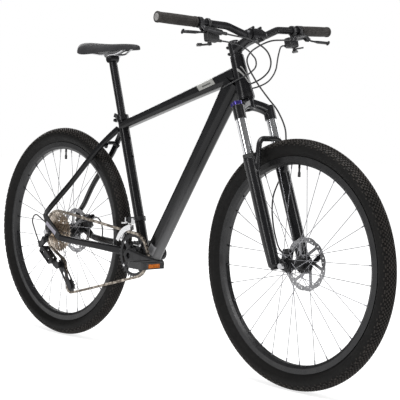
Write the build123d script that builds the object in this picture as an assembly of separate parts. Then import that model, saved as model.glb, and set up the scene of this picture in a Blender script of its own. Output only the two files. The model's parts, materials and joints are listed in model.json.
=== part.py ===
from build123d import *
import os
from math import asin, atan2, cos, degrees, hypot, pi, radians, sin, sqrt, tan

# Mountain bike, millimetres. +X points forward, +Y to the rider's left, +Z up.
# The origin is on the ground, midway between the axles. The drive side is -Y.

# ---- driving dimensions -------------------------------------------------------------
WHEELBASE = 1143.0
TYRE_RADIUS = 367.0
TYRE_SECTION_RADIUS = 27.5
BEAD_RADIUS = 311.0
RIM_INNER_RADIUS = 292.0
RIM_OUTER_RADIUS = 316.5
RIM_HALF_WIDTH = 12.5

HEAD_ANGLE = 69.5
HEAD_TUBE_BOTTOM = (338.0, 0.0, 858.0)
HEAD_TUBE_LENGTH = 115.0
HEAD_TUBE_TOP_RADIUS = 21.5
HEAD_TUBE_BOTTOM_RADIUS = 26.0
STEERER_RADIUS = 14.3

BOTTOM_BRACKET = (-116.0, 0.0, 329.0)
SHELL_RADIUS = 20.0
SHELL_HALF_WIDTH = 36.5
SPINDLE_RADIUS = 8.5
RUNNING_GAP = 0.05

SEAT_TUBE_TOP = (-256.5, 0.0, 780.0)
SEAT_TUBE_RADIUS = 17.0
SEATPOST_RADIUS = 13.6
SEATPOST_TOP = (-315.0, 0.0, 972.0)

FRONT_OLD = 100.0
REAR_OLD = 135.0
AXLE_RADIUS = 4.5
DROPOUT_THICKNESS = 6.0

LEG_SPACING = 63.2
LEG_OFFSET = 20.0
STANCHION_RADIUS = 15.0
CROWN_BOTTOM = -86.0
SEAL_TOP = -195.0
SEAL_HEIGHT = 12.0

CHAIN_PITCH = 12.7
CHAIN_LINKS = 116
RING_TEETH = 36
INNER_RING_TEETH = 22
PULLEY_TEETH = 11
COG_TEETH = (36, 30, 26, 23, 20, 17, 15, 13, 11)
COG_SPACING = 4.35
COG_THICKNESS = 1.8
RING_Y = -50.5
INNER_RING_Y = -42.5
BIG_COG_Y = -27.3
CRANK_LENGTH = 170.0
CRANK_ANGLE = -3.0

STEM_LENGTH = 92.3
BAR_HEIGHT = 155.5
BAR_RADIUS = 11.1
BAR_CLAMP_RADIUS = 15.9
BAR_END_Y = 353.0
GRIP_RADIUS = 16.5
GRIP_LENGTH = 135.0

SPOKE_RADIUS = 1.0
NIPPLE_RADIUS = 2.0
SPOKES_PER_SIDE = 16
ROTOR_RADIUS = 80.0
HOSE_RADIUS = 2.5
HOUSING_RADIUS = 2.3

FRONT_AXLE = (WHEELBASE / 2, 0.0, TYRE_RADIUS)
REAR_AXLE = (-WHEELBASE / 2, 0.0, TYRE_RADIUS)

os.makedirs("parts", exist_ok=True)

# Local frame of the steered parts: x forward and square to the steering axis,
# y to the left, z up the steering axis, origin at the foot of the head tube.
STEER = Plane(
    origin=HEAD_TUBE_BOTTOM,
    x_dir=(sin(radians(HEAD_ANGLE)), 0, cos(radians(HEAD_ANGLE))),
    z_dir=(-cos(radians(HEAD_ANGLE)), 0, sin(radians(HEAD_ANGLE))),
)
AXLE_LOCAL = STEER.to_local_coords(Vector(*FRONT_AXLE))


# ---- helpers ------------------------------------------------------------------------
def save(name, *solids):
    """Write the solids as one node."""
    flat = [s for shape in solids for s in shape.solids()]
    shape = flat[0] if len(flat) == 1 else Compound(children=flat)
    export_step(shape, f"parts/{name}.step")


def rod(start, end, radius):
    """Cylinder from start to end."""
    a, b = Vector(*start), Vector(*end)
    return extrude(Plane(origin=a, z_dir=b - a) * Circle(radius), (b - a).length)


def cone(start, end, radius_1, radius_2):
    """Tapered rod from start to end."""
    a, b = Vector(*start), Vector(*end)
    first = Plane(origin=a, z_dir=b - a) * Circle(radius_1)
    second = Plane(origin=b, z_dir=b - a) * Circle(radius_2)
    return loft([first, second])


def sleeve(start, end, outer, inner):
    return rod(start, end, outer) - rod(start, end, inner)


def across(radius, y_1, y_2, x=0.0, z=0.0):
    """Cylinder along Y."""
    return Pos(x, (y_1 + y_2) / 2, z) * Rot(90, 0, 0) * Cylinder(radius, abs(y_2 - y_1))


def ring_across(outer, inner, y_1, y_2, x=0.0, z=0.0):
    return across(outer, y_1, y_2, x, z) - across(inner, y_1 - 1, y_2 + 1, x, z)


def bar_plate(points, radii, y_1, y_2):
    """Plate along Y made of discs joined by their common tangents."""
    body = None
    low, high = min(y_1, y_2), max(y_1, y_2)
    sections = Plane(origin=(0, low, 0), x_dir=(1, 0, 0), z_dir=(0, -1, 0))
    for (p, r), (q, s) in zip(zip(points, radii), zip(points[1:], radii[1:])):
        outline = make_hull((Pos(*p) * Circle(r)).edges() + (Pos(*q) * Circle(s)).edges())
        piece = extrude(sections * outline, -(high - low))
        body = piece if body is None else body + piece
    return body


def tube_along(points, radius, bends):
    """Round tube of straight runs joined by tangent arcs."""
    path = FilletPolyline(*points, radius=bends)
    section = Plane(origin=path @ 0, z_dir=path % 0) * Circle(radius)
    return sweep(section, path=path)


def cable_bends(points):
    """The largest radius that each corner of a cable's route allows."""
    bends = []
    for a, b, c in zip(points, points[1:], points[2:]):
        first, second = Vector(*b) - Vector(*a), Vector(*c) - Vector(*b)
        turn = radians(first.get_angle(second))
        bends.append(0.45 * min(first.length, second.length) / tan(turn / 2))
    return bends


def cable(points, radius):
    return tube_along(points, radius, cable_bends(points))


def rounded_section(centre, direction, width, height, corner, side=(0, 1, 0)):
    """Rounded rectangle across a tube: width along side, height square to it."""
    normal = Vector(*direction).normalized()
    across_dir = (Vector(*side) - normal * Vector(*side).dot(normal)).normalized()
    plane = Plane(origin=centre, x_dir=across_dir, z_dir=normal)
    return plane * RectangleRounded(width, height, corner)


def mirrored(shape):
    """The same shape on the other side of the bike."""
    return mirror(shape, about=Plane.XZ)


def local(shape):
    """Place a shape drawn in the steering frame."""
    return STEER.location * shape


def in_world(x, y, z):
    """World coordinates of a point given in the steering frame."""
    return tuple(STEER.from_local_coords(Vector(x, y, z)))


def along(a, b, t):
    """The point a fraction t of the way from a to b."""
    return tuple(p + (q - p) * t for p, q in zip(a, b))


# ---- wheels -------------------------------------------------------------------------
WHEEL_AXIS = Axis((0, 0, 0), (0, 1, 0))


def wheel_profile(points):
    """Face in the YZ plane from (y, radius) points."""
    return make_face(Polyline(*[(0, y, r) for y, r in points], close=True))


def tyre():
    """Open carcass with two beads, and the toroidal inner tube with its valve inside."""
    centre = TYRE_RADIUS - TYRE_SECTION_RADIUS
    wall = 3.5
    inner = TYRE_SECTION_RADIUS - wall
    shoulder, inner_shoulder = 319.0, 321.5
    half = sqrt(TYRE_SECTION_RADIUS**2 - (shoulder - centre) ** 2)
    inner_half = sqrt(inner**2 - (inner_shoulder - centre) ** 2)
    bead = 9.3
    bead_inner = 5.3
    lines = [
        Polyline((0, -half, shoulder), (0, -bead, 317.2), (0, -bead, BEAD_RADIUS),
                 (0, -bead_inner, BEAD_RADIUS), (0, -bead_inner, 319.5),
                 (0, -inner_half, inner_shoulder)),
        ThreePointArc((0, -inner_half, inner_shoulder), (0, 0, centre + inner),
                      (0, inner_half, inner_shoulder)),
        Polyline((0, inner_half, inner_shoulder), (0, bead_inner, 319.5),
                 (0, bead_inner, BEAD_RADIUS), (0, bead, BEAD_RADIUS),
                 (0, bead, 317.2), (0, half, shoulder)),
        ThreePointArc((0, half, shoulder), (0, 0, TYRE_RADIUS), (0, -half, shoulder)),
    ]
    carcass = revolve(make_face(lines), axis=WHEEL_AXIS)
    tube_section = Plane(origin=(0, 0, centre + 1), x_dir=(0, 1, 0), z_dir=(1, 0, 0))
    tube = revolve(tube_section * (Circle(20.5) - Circle(19.3)), axis=WHEEL_AXIS)
    tube += rod((0, 0, centre - 19), (0, 0, 270), 3.6)
    cap = rod((0, 0, 270), (0, 0, 256), 4.4)
    return [carcass, tube, cap]


def rim():
    """Double-walled rim with bead hooks, a valve hole and a nipple hole for each spoke."""
    w = RIM_HALF_WIDTH
    outer = wheel_profile([
        (w, RIM_OUTER_RADIUS), (w, 300.5), (8, RIM_INNER_RADIUS), (-8, RIM_INNER_RADIUS),
        (-w, 300.5), (-w, RIM_OUTER_RADIUS), (-9.8, RIM_OUTER_RADIUS), (-9.8, 310.7),
        (-4.5, 310.7), (-4.5, 308), (4.5, 308), (4.5, 310.7), (9.8, 310.7),
        (9.8, RIM_OUTER_RADIUS),
    ])
    cavity = wheel_profile([(10.6, 306), (10.6, 301.5), (7, 294), (-7, 294),
                            (-10.6, 301.5), (-10.6, 306)])
    body = revolve(outer - cavity, axis=WHEEL_AXIS)
    holes = [rod((0, 0, 285), (0, 0, 320), 4.6)]
    for index in range(2 * SPOKES_PER_SIDE):
        angle = radians(rim_hole_angle(index))
        y = 2.0 if index % 2 else -2.0
        start = (288 * cos(angle), y, 288 * sin(angle))
        end = (296 * cos(angle), y, 296 * sin(angle))
        holes.append(rod(start, end, 3.0))
    return body - holes


def rim_hole_angle(index):
    """Spoke holes are evenly spaced, with the valve hole midway between two of them."""
    return 90 + (index + 0.5) * 180 / SPOKES_PER_SIDE


def spoke(side, flange_y, flange_radius, number, leading):
    """One bent spoke with its head and nipple, crossing three others."""
    step = 360 / SPOKES_PER_SIDE
    crossing = 3 * step
    rim_index = 2 * number + (1 if side > 0 else 0)
    rim_angle = rim_hole_angle(rim_index)
    hub_angle = rim_angle + (crossing if leading else -crossing)
    gap = 4.2 if leading else -2.6
    y_run = side * (flange_y + gap)
    y_head = side * (flange_y - (2.2 if leading else -2.2))
    a, b = radians(hub_angle), radians(rim_angle)
    elbow = (flange_radius * cos(a), y_run, flange_radius * sin(a))
    head = (flange_radius * cos(a), y_head, flange_radius * sin(a))
    head_end = (head[0], y_head - side * (0.8 if leading else -0.8), head[2])
    seat = (293.0 * cos(b), side * 2.0, 293.0 * sin(b))
    length = (Vector(*seat) - Vector(*elbow)).length
    nipple_start = along(elbow, seat, 1 - 13.0 / length)
    wire = rod(elbow, nipple_start, SPOKE_RADIUS) + rod(elbow, head, SPOKE_RADIUS)
    wire += Pos(*elbow) * Sphere(SPOKE_RADIUS)
    wire += rod(head, head_end, 1.7)
    return [wire, rod(nipple_start, seat, NIPPLE_RADIUS)]


def spokes(left_y, right_y, left_radius, right_radius):
    pieces = []
    for side, y, radius in ((1, left_y, left_radius), (-1, right_y, right_radius)):
        for number in range(SPOKES_PER_SIDE):
            pieces += spoke(side, y, radius, number, number % 2 == 0)
    return pieces


def hub(left_y, right_y, left_radius, right_radius, core, left_end, right_end, bearing):
    """Hub shell with two drilled flanges, bored for its bearings, and the two bearings."""
    shell = across(core, -right_y, left_y)
    shell += across(left_radius + 3.5, left_y - 1.2, left_y + 1.2)
    shell += across(right_radius + 3.5, -right_y - 1.2, -right_y + 1.2)
    shell += across(core + 3, left_y, left_end)
    shell += across(core + 3, -right_end, -right_y)
    shell -= across(bearing, -right_end - 1, left_end + 1)
    holes = []
    step = 360 / SPOKES_PER_SIDE
    for side, y, radius in ((1, left_y, left_radius), (-1, -right_y, right_radius)):
        for number in range(SPOKES_PER_SIDE):
            rim_angle = rim_hole_angle(2 * number + (1 if side > 0 else 0))
            a = radians(rim_angle + 3 * step * (1 if number % 2 == 0 else -1))
            holes.append(across(1.3, y - 2, y + 2, radius * cos(a), radius * sin(a)))
    shell -= holes
    races = [ring_across(bearing, AXLE_RADIUS + RUNNING_GAP, left_end - 9, left_end),
             ring_across(bearing, AXLE_RADIUS + RUNNING_GAP, -right_end, -right_end + 9)]
    return [shell, *races]


def rotor(y, core):
    """Wavy brake disc on six bolts."""
    waves = 12
    arcs = []
    for index in range(waves):
        a = [radians((index + t) * 360 / waves) for t in (0, 0.5, 1)]
        r = (ROTOR_RADIUS - 2.5, ROTOR_RADIUS, ROTOR_RADIUS - 2.5)
        arcs.append(ThreePointArc(*[(q * cos(p), 0, q * sin(p)) for p, q in zip(a, r)]))
    disc = extrude(make_face(arcs), 1.8, dir=(0, 1, 0)) - across(64, -3, 5)
    for index in range(6):
        angle = index * 60
        arm = Rot(0, -angle, 0) * Pos(45, 0.9, 0) * Rot(0, 24, 0) * Box(46, 1.8, 9)
        disc += arm
    disc += across(29, 0, 1.8)
    disc -= across(core, -3, 5)
    holes = []
    for index in range(36):
        a = radians(index * 10)
        r = 69 + 4 * (index % 3 - 1)
        holes.append(across(2.3, -1, 4, r * cos(a), r * sin(a)))
    bolts = []
    for index in range(6):
        a = radians(index * 60)
        holes.append(across(2.6, -1, 4, 22 * cos(a), 22 * sin(a)))
        bolts.append(across(4.4, 1.9, 4.4, 22 * cos(a), 22 * sin(a)))
        bolts[-1] += across(2.5, -0.1, 2, 22 * cos(a), 22 * sin(a))
    return [Pos(0, y, 0) * s for s in (disc - holes, *bolts)]


def place(pieces, axle):
    return [Pos(*axle) * piece for piece in pieces]


def build_wheels():
    # Flange and disc positions: the front disc and the rear sprockets narrow one side.
    front = dict(left_y=24.0, right_y=33.0, left_radius=22.5, right_radius=19.5)
    rear = dict(left_y=33.0, right_y=19.5, left_radius=22.5, right_radius=22.5)
    save("front_tyre_and_tube", *place(tyre(), FRONT_AXLE))
    save("front_rim", *place([rim()], FRONT_AXLE))
    save("front_spokes", *place(spokes(**front), FRONT_AXLE))
    save("front_hub", *place(hub(**front, core=14, left_end=38.4, right_end=41,
                                 bearing=11), FRONT_AXLE))
    save("front_rotor", *place(rotor(38.6, 17.2), FRONT_AXLE))
    save("rear_tyre_and_tube", *place(tyre(), REAR_AXLE))
    save("rear_rim", *place([rim()], REAR_AXLE))
    save("rear_spokes", *place(spokes(**rear), REAR_AXLE))
    save("rear_hub", *place(hub(**rear, core=14, left_end=51.4, right_end=24.6,
                                bearing=11), REAR_AXLE))
    save("rear_rotor", *place(rotor(51.6, 17.2), REAR_AXLE))


# ---- chain and sprockets ------------------------------------------------------------
def pitch_radius(teeth):
    return CHAIN_PITCH / (2 * sin(pi / teeth))


def sprocket(teeth, thickness, bore, phase=0.0):
    """Toothed disc about Y; a tooth gap lies at the phase angle, from +X towards +Z."""
    r = pitch_radius(teeth)
    roller = 4.0
    root, tip = r - roller, r + 3.4
    points = []
    for index in range(teeth):
        centre = phase + index * 360 / teeth
        half = 180 / teeth
        width = degrees(roller / r)
        for offset, radius in ((-width * 0.62, root), (width * 0.62, root),
                               (width * 1.08, r), (half - width * 0.18, tip),
                               (half + width * 0.18, tip), (2 * half - width * 1.08, r)):
            a = radians(centre + offset)
            points.append((radius * cos(a), 0, radius * sin(a)))
    face = make_face(Polyline(*points, close=True))
    disc = extrude(face, thickness, dir=(0, 1, 0))
    return Pos(0, -thickness / 2, 0) * (disc - across(bore, -1, thickness + 1))


GUIDE_PULLEY = (-545.0, BIG_COG_Y, 250.0)
CAGE_LENGTH = 90.0


def tangent(first, second):
    """Heading in the XZ plane of the run that joins two wrapped circles."""
    (c1, r1, s1), (c2, r2, s2) = first, second
    dx, dz = c2[0] - c1[0], c2[2] - c1[2]
    return atan2(dz, dx) + asin((s1 * r1 - s2 * r2) / hypot(dx, dz))


def chain_circles(cage_angle):
    """Wrapped circles in the order that the chain meets them, with turning sense."""
    a = radians(cage_angle)
    tension = (GUIDE_PULLEY[0] + CAGE_LENGTH * cos(a), BIG_COG_Y,
               GUIDE_PULLEY[2] + CAGE_LENGTH * sin(a))
    big_cog = (REAR_AXLE[0], BIG_COG_Y, REAR_AXLE[2])
    chainring = (BOTTOM_BRACKET[0], RING_Y, BOTTOM_BRACKET[2])
    return [
        (chainring, pitch_radius(RING_TEETH), 1),
        (big_cog, pitch_radius(COG_TEETH[0]), 1),
        (GUIDE_PULLEY, pitch_radius(PULLEY_TEETH), -1),
        (tension, pitch_radius(PULLEY_TEETH), 1),
    ]


def chain_path(cage_angle):
    """Pieces of the chain's closed path: ("run", start, end) or an arc, with lengths."""
    circles = chain_circles(cage_angle)
    count = len(circles)
    headings = [tangent(circles[i], circles[(i + 1) % count]) for i in range(count)]
    pieces = []
    for i in range(count):
        centre, r, s = circles[i]
        nxt_centre, nxt_r, nxt_s = circles[(i + 1) % count]
        h, nxt_h = headings[i], headings[(i + 1) % count]
        start = (centre[0] + s * r * sin(h), centre[1], centre[2] - s * r * cos(h))
        end = (nxt_centre[0] + nxt_s * nxt_r * sin(h), nxt_centre[1],
               nxt_centre[2] - nxt_s * nxt_r * cos(h))
        pieces.append(("run", start, end, (Vector(*end) - Vector(*start)).length))
        turn = (nxt_s * (nxt_h - h)) % (2 * pi)
        begin = h - nxt_s * pi / 2
        pieces.append(("arc", nxt_centre, (nxt_r, begin, nxt_s), nxt_r * turn))
    return pieces


def path_point(pieces, distance):
    """Point on the chain's path; the sideways shift of a slanted run is eased."""
    total = sum(piece[3] for piece in pieces)
    distance %= total
    for kind, first, second, length in pieces:
        if distance <= length:
            break
        distance -= length
    if kind == "run":
        t = distance / length
        x, z = first[0] + (second[0] - first[0]) * t, first[2] + (second[2] - first[2]) * t
        return Vector(x, first[1] + (second[1] - first[1]) * t * t * (3 - 2 * t), z)
    r, begin, sense = second
    a = begin + sense * distance / r
    return Vector(first[0] + r * cos(a), first[1], first[2] + r * sin(a))


def walk(pieces, start):
    """Pins one chain pitch apart along the path, from a distance round the loop."""
    pins, distance = [path_point(pieces, start)], start
    for _ in range(CHAIN_LINKS):
        step = CHAIN_PITCH
        for _ in range(6):
            gap = (path_point(pieces, distance + step) - pins[-1]).length
            step += CHAIN_PITCH - gap
        distance += step
        pins.append(path_point(pieces, distance))
    return pins, distance - start


def closing_cage_angle():
    """The cage swings until the loop is a whole number of links long."""
    low, high = -75.0, 5.0
    for _ in range(30):
        middle = (low + high) / 2
        pieces = chain_path(middle)
        walked = walk(pieces, 0.0)[1]
        total = sum(piece[3] for piece in pieces)
        if walked > total:
            high = middle
        else:
            low = middle
    return (low + high) / 2


CAGE_ANGLE = closing_cage_angle()
TENSION_PULLEY = chain_circles(CAGE_ANGLE)[3][0]
PATH = chain_path(CAGE_ANGLE)
PINS = walk(PATH, 0.0)[0][:-1]


def phase_on(centre, radius):
    """Angle, from +X towards +Z, of a pin that lies on the sprocket."""
    best = None
    for pin in PINS:
        dx, dz = pin.X - centre[0], pin.Z - centre[2]
        error = abs(hypot(dx, dz) - radius)
        if best is None or error < best[0]:
            best = (error, degrees(atan2(dz, dx)))
    return best[1]


def chain_link(outer):
    """One link from the origin along +X: side plates, and pins or bored rollers."""
    half_height, plate = 3.9, 0.9
    y_in = 3.15 if outer else 2.15
    face = make_hull((Circle(half_height)).edges()
                     + (Pos(CHAIN_PITCH, 0) * Circle(half_height)).edges())
    sections = Plane(origin=(0, 0, 0), x_dir=(1, 0, 0), z_dir=(0, -1, 0))
    link = extrude(sections * face, y_in + plate, both=True)
    link -= extrude(sections * face, y_in, both=True)
    for x in (0, CHAIN_PITCH):
        if outer:
            link += across(1.7, -y_in - 0.2, y_in + 0.2, x)
        else:
            link += across(3.8, -y_in - 0.2, y_in + 0.2, x)
            link -= across(1.9, -y_in - 3, y_in + 3, x)
    return link


def build_chain():
    links = {True: chain_link(True), False: chain_link(False)}
    placed = []
    for index in range(CHAIN_LINKS):
        a, b = PINS[index], PINS[(index + 1) % CHAIN_LINKS]
        x_dir = (b - a).normalized()
        z_dir = x_dir.cross(Vector(0, 1, 0)).normalized()
        frame = Plane(origin=a, x_dir=x_dir, z_dir=z_dir)
        placed.append(frame.location * links[index % 2 == 0])
    save("chain", *placed)


def build_cassette():
    """Nine sprockets, the spacers between them and the freehub body that carries them."""
    phase = phase_on(REAR_AXLE, pitch_radius(COG_TEETH[0]))
    solids = []
    for index, teeth in enumerate(COG_TEETH):
        y = BIG_COG_Y - index * COG_SPACING
        cog = sprocket(teeth, COG_THICKNESS, 15.2, phase)
        if teeth >= 20:
            windows = 6 if teeth < 30 else 9
            middle = (pitch_radius(teeth) - 4 + 22) / 2
            size = min(pitch_radius(teeth) - 4 - 26, 2 * middle * sin(pi / windows) - 5)
            slots = []
            for number in range(windows):
                a = radians(number * 360 / windows)
                slots.append(across(size / 2, -3, 3, middle * cos(a), middle * sin(a)))
            cog -= slots
        solids.append(Pos(0, y, 0) * cog)
        if index:
            gap_low = y + COG_THICKNESS / 2
            gap_high = gap_low + COG_SPACING - COG_THICKNESS
            solids.append(ring_across(17.5, 15.2, gap_low, gap_high))
    last = BIG_COG_Y - (len(COG_TEETH) - 1) * COG_SPACING
    freehub = ring_across(15.2, 9.5, last - 1.5, BIG_COG_Y + 1.5)
    solids.append(freehub)
    solids.append(ring_across(15.0, 9.5, last - 3.5, last - 1.5))
    race = ring_across(9.5, AXLE_RADIUS + RUNNING_GAP, last, last + 8)
    second = ring_across(9.5, AXLE_RADIUS + RUNNING_GAP, BIG_COG_Y - 8, BIG_COG_Y)
    save("cassette", *place([*solids, race, second], REAR_AXLE))


# ---- crankset, bottom bracket and pedals --------------------------------------------
def crank_arm(y_root, y_tip, thickness):
    """Tapered forged arm from the origin along +X, bored for the spindle."""
    sections = []
    for t, width in ((0.0, 44.0), (0.35, 33.0), (0.75, 25.0), (1.0, 24.0)):
        centre = (CRANK_LENGTH * t, y_root + (y_tip - y_root) * t, 0)
        sections.append(rounded_section(centre, (1, 0, 0), thickness, width, 5.0))
    arm = loft(sections)
    arm += across(22, y_root - thickness / 2, y_root + thickness / 2)
    arm += across(13, y_tip - thickness / 2, y_tip + thickness / 2, CRANK_LENGTH)
    return arm


def turned_crank(shape):
    """Put a part drawn along +X at the spindle, at the crank's resting angle."""
    return Pos(*BOTTOM_BRACKET) * Rot(0, -CRANK_ANGLE, 0) * shape


ARM_ROOT_Y = 68.5
ARM_TIP_Y = 78.0
ARM_THICKNESS = 12.0
PEDAL_AXLE_START = ARM_TIP_Y + ARM_THICKNESS / 2


def build_crankset():
    spider_back = -53.0
    right = crank_arm(-ARM_ROOT_Y, -ARM_TIP_Y, ARM_THICKNESS)
    right += across(24, -64, spider_back)
    for index in range(4):
        a = 45 + index * 90
        right += Rot(0, -a, 0) * Pos(40, -55.0, 0) * Box(34, 4.0, 15)
        tip = (54 * cos(radians(a)), 54 * sin(radians(a)))
        right += across(8, -57.0, spider_back, *tip)
    for index in range(4):
        a = radians(45 + index * 90)
        right += across(5, spider_back, INNER_RING_Y - 1.4, 32 * cos(a), 32 * sin(a))
    right -= across(9.5, -80, -66)
    right -= across(7.0, -90, -60, CRANK_LENGTH)
    right -= across(SPINDLE_RADIUS, -66, -40)
    spindle = across(SPINDLE_RADIUS, -65.5, 65.5)
    bolt = across(7.5, -69.5, -66.2)
    save("crank_arm_right", *[turned_crank(s) for s in (right, spindle, bolt, pedal_spindle())])

    left = crank_arm(-ARM_ROOT_Y, -ARM_TIP_Y, ARM_THICKNESS)
    left += across(17, -ARM_ROOT_Y, -52)
    left -= across(9.5, -80, -66)
    left -= across(7.0, -90, -60, CRANK_LENGTH)
    left -= across(SPINDLE_RADIUS, -66, -40)
    left_bolt = across(7.5, -69.5, -66.2)
    flipped = Rot(0, 0, 180)
    save("crank_arm_left",
         *[turned_crank(flipped * s) for s in (left, left_bolt, pedal_spindle())])

    phase = phase_on(BOTTOM_BRACKET, pitch_radius(RING_TEETH))
    outer = Pos(0, RING_Y, 0) * sprocket(RING_TEETH, 2.0, 59, phase)
    inner = Pos(0, INNER_RING_Y, 0) * sprocket(INNER_RING_TEETH, 2.4, 37, phase)
    bolts = []
    for index in range(4):
        a = radians(45 + index * 90 + CRANK_ANGLE)
        outer += across(10, RING_Y - 1, RING_Y + 1, 55 * cos(a), 55 * sin(a))
        inner += across(7.5, INNER_RING_Y - 1.2, INNER_RING_Y + 1.2, 33 * cos(a), 33 * sin(a))
        bolts.append(across(4.5, -60.0, -57.2, 54 * cos(a), 54 * sin(a)))
    cuts = [across(24.5, -60, -40)]
    rings = [outer - cuts, inner - cuts]
    # Ring guard spacers between the spider and the big ring, one at each bolt.
    for index in range(4):
        a = radians(45 + index * 90 + CRANK_ANGLE)
        rings.append(across(6, -52.9, RING_Y - 1.1, 54 * cos(a), 54 * sin(a)))
    save("chainrings", *place([*rings, *bolts], BOTTOM_BRACKET))

    cartridge = ring_across(16.5, SPINDLE_RADIUS + RUNNING_GAP, -SHELL_HALF_WIDTH - 2,
                            SHELL_HALF_WIDTH + 2)
    for side in (1, -1):
        low = side * (SHELL_HALF_WIDTH + 0.2)
        high = side * (SHELL_HALF_WIDTH + 2)
        cartridge += ring_across(19.5, 16.4, min(low, high), max(low, high))
    save("bottom_bracket", *place([cartridge], BOTTOM_BRACKET))

    pedal = pedal_pieces()
    tip = CRANK_LENGTH * cos(radians(CRANK_ANGLE)), CRANK_LENGTH * sin(radians(CRANK_ANGLE))
    right_spot = Pos(BOTTOM_BRACKET[0] + tip[0], 0, BOTTOM_BRACKET[2] + tip[1])
    left_spot = Pos(BOTTOM_BRACKET[0] - tip[0], 0, BOTTOM_BRACKET[2] - tip[1])
    save("pedal_right", *[right_spot * p for p in pedal])
    save("pedal_left", *[left_spot * Rot(0, 0, 180) * p for p in pedal])


def pedal_spindle():
    """Spindle screwed into the arm's tip, drawn with the arm along +X; the pedal turns on it."""
    start = -PEDAL_AXLE_START
    spindle = across(7.0, start - 0.2, start + ARM_THICKNESS - 0.5, CRANK_LENGTH)
    spindle += across(8.0, start - 4.7, start - 0.2, CRANK_LENGTH)
    return spindle + across(5.0, start - 76, start, CRANK_LENGTH)


def pedal_pieces():
    """Platform pedal outboard of y = -PEDAL_AXLE_START, with a reflector at each end."""
    y_in, y_out = -PEDAL_AXLE_START - 6, -PEDAL_AXLE_START - 100
    middle = (y_in + y_out) / 2
    frame = Pos(0, middle, 0) * Box(78, 92, 20)
    frame = fillet(frame.edges().filter_by(Axis.Z), 9)
    for x in (-23, 23):
        frame -= Pos(x, middle, 0) * Box(18, 72, 30)
    for end in (-1, 1):
        frame -= Pos(end * 38.5, middle, 0) * Box(4, 46, 13)
    body = frame + across(9, y_in, y_out + 4)
    body -= across(5.0 + RUNNING_GAP, y_in + 1, y_out + 20)
    lenses = [Pos(end * 38.0, middle, 0) * Box(2.6, 45, 12) for end in (-1, 1)]
    return [body, *lenses]


# ---- frame --------------------------------------------------------------------------
SEAT_TUBE_FOOT = (BOTTOM_BRACKET[0], 0.0, BOTTOM_BRACKET[2])
HEAD_TUBE_TOP = in_world(0, 0, HEAD_TUBE_LENGTH)


def head_tube_outer():
    lower = cone(in_world(0, 0, 0), in_world(0, 0, 62), HEAD_TUBE_BOTTOM_RADIUS, 22.5)
    middle = cone(in_world(0, 0, 62), HEAD_TUBE_TOP, 22.5, HEAD_TUBE_TOP_RADIUS)
    return lower + middle


def build_front_triangle():
    """Hydroformed tubes, each its own closed wall, meeting at the welds."""
    head = head_tube_outer()
    head -= rod(in_world(0, 0, -1), in_world(0, 0, HEAD_TUBE_LENGTH + 1), 17.5)

    shell = across(SHELL_RADIUS, -SHELL_HALF_WIDTH, SHELL_HALF_WIDTH,
                   BOTTOM_BRACKET[0], BOTTOM_BRACKET[2])
    shell_bore = across(16.6, -40, 40, BOTTOM_BRACKET[0], BOTTOM_BRACKET[2])
    shell_solid = shell
    shell = shell - shell_bore

    down_foot, down_top = (-85.0, 0.0, 318.0), (292.0, 0.0, 898.0)
    heading = Vector(*down_top) - Vector(*down_foot)
    down_sizes = ((0.0, 56, 44, 16), (0.25, 52, 47, 17), (0.7, 50, 53, 18), (1.0, 50, 64, 18))

    def down_walls(shrink):
        return loft([rounded_section(along(down_foot, down_top, t), heading, w - shrink,
                                     h - shrink, c - shrink / 3)
                     for t, w, h, c in down_sizes])

    down = down_walls(0) - down_walls(4.0)

    top_foot, top_end = (-247.0, 0.0, 750.0), (300.0, 0.0, 921.0)
    slope = Vector(*top_end) - Vector(*top_foot)
    top_sizes = ((0.0, 36, 27, 9), (0.3, 38, 30, 10), (0.75, 41, 38, 12), (1.0, 40, 46, 13))

    def top_walls(shrink):
        return loft([rounded_section(along(top_foot, top_end, t), slope, w - shrink,
                                     h - shrink, c - shrink / 3)
                     for t, w, h, c in top_sizes])

    top = top_walls(0) - top_walls(3.2)

    seat_solid = rod(SEAT_TUBE_FOOT, SEAT_TUBE_TOP, SEAT_TUBE_RADIUS)
    seat = seat_solid - rod(SEAT_TUBE_FOOT, SEAT_TUBE_TOP, SEATPOST_RADIUS + RUNNING_GAP)
    seat -= shell_solid
    # Slot that lets the collar pinch the top of the seat tube.
    seat -= Pos(SEAT_TUBE_TOP[0] - 18, 0, SEAT_TUBE_TOP[2] - 12) * Box(20, 2.0, 40)

    down_outer = down_walls(0)
    down = down - head_tube_outer() - shell_solid - seat_solid
    top = top - head_tube_outer() - seat_solid - down_outer
    down = max(down.solids(), key=lambda s: s.volume)
    top = max(top.solids(), key=lambda s: s.volume)
    seat = max(seat.solids(), key=lambda s: s.volume)

    # Ports for the three lines that enter the down tube behind the head tube.
    for route in (REAR_GEAR_LINE, REAR_BRAKE_LINE, FRONT_GEAR_LINE):
        down -= local(cable(route[-3:], PORT_RADIUS))

    # Bottle bosses: two threaded inserts on the down tube and two on the seat tube.
    bosses = []
    for spot, normal, drop in bottle_bosses():
        outer_end = tuple(Vector(*spot) + Vector(*normal) * 1.5)
        inner_end = tuple(Vector(*spot) - Vector(*normal) * drop)
        bosses.append(sleeve(inner_end, outer_end, 4.6, 2.5))
        hole = rod(inner_end, outer_end, 4.6)
        down, seat = down - hole, seat - hole
    save("frame_front_triangle", head, down, top, seat, shell, *bosses)


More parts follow.
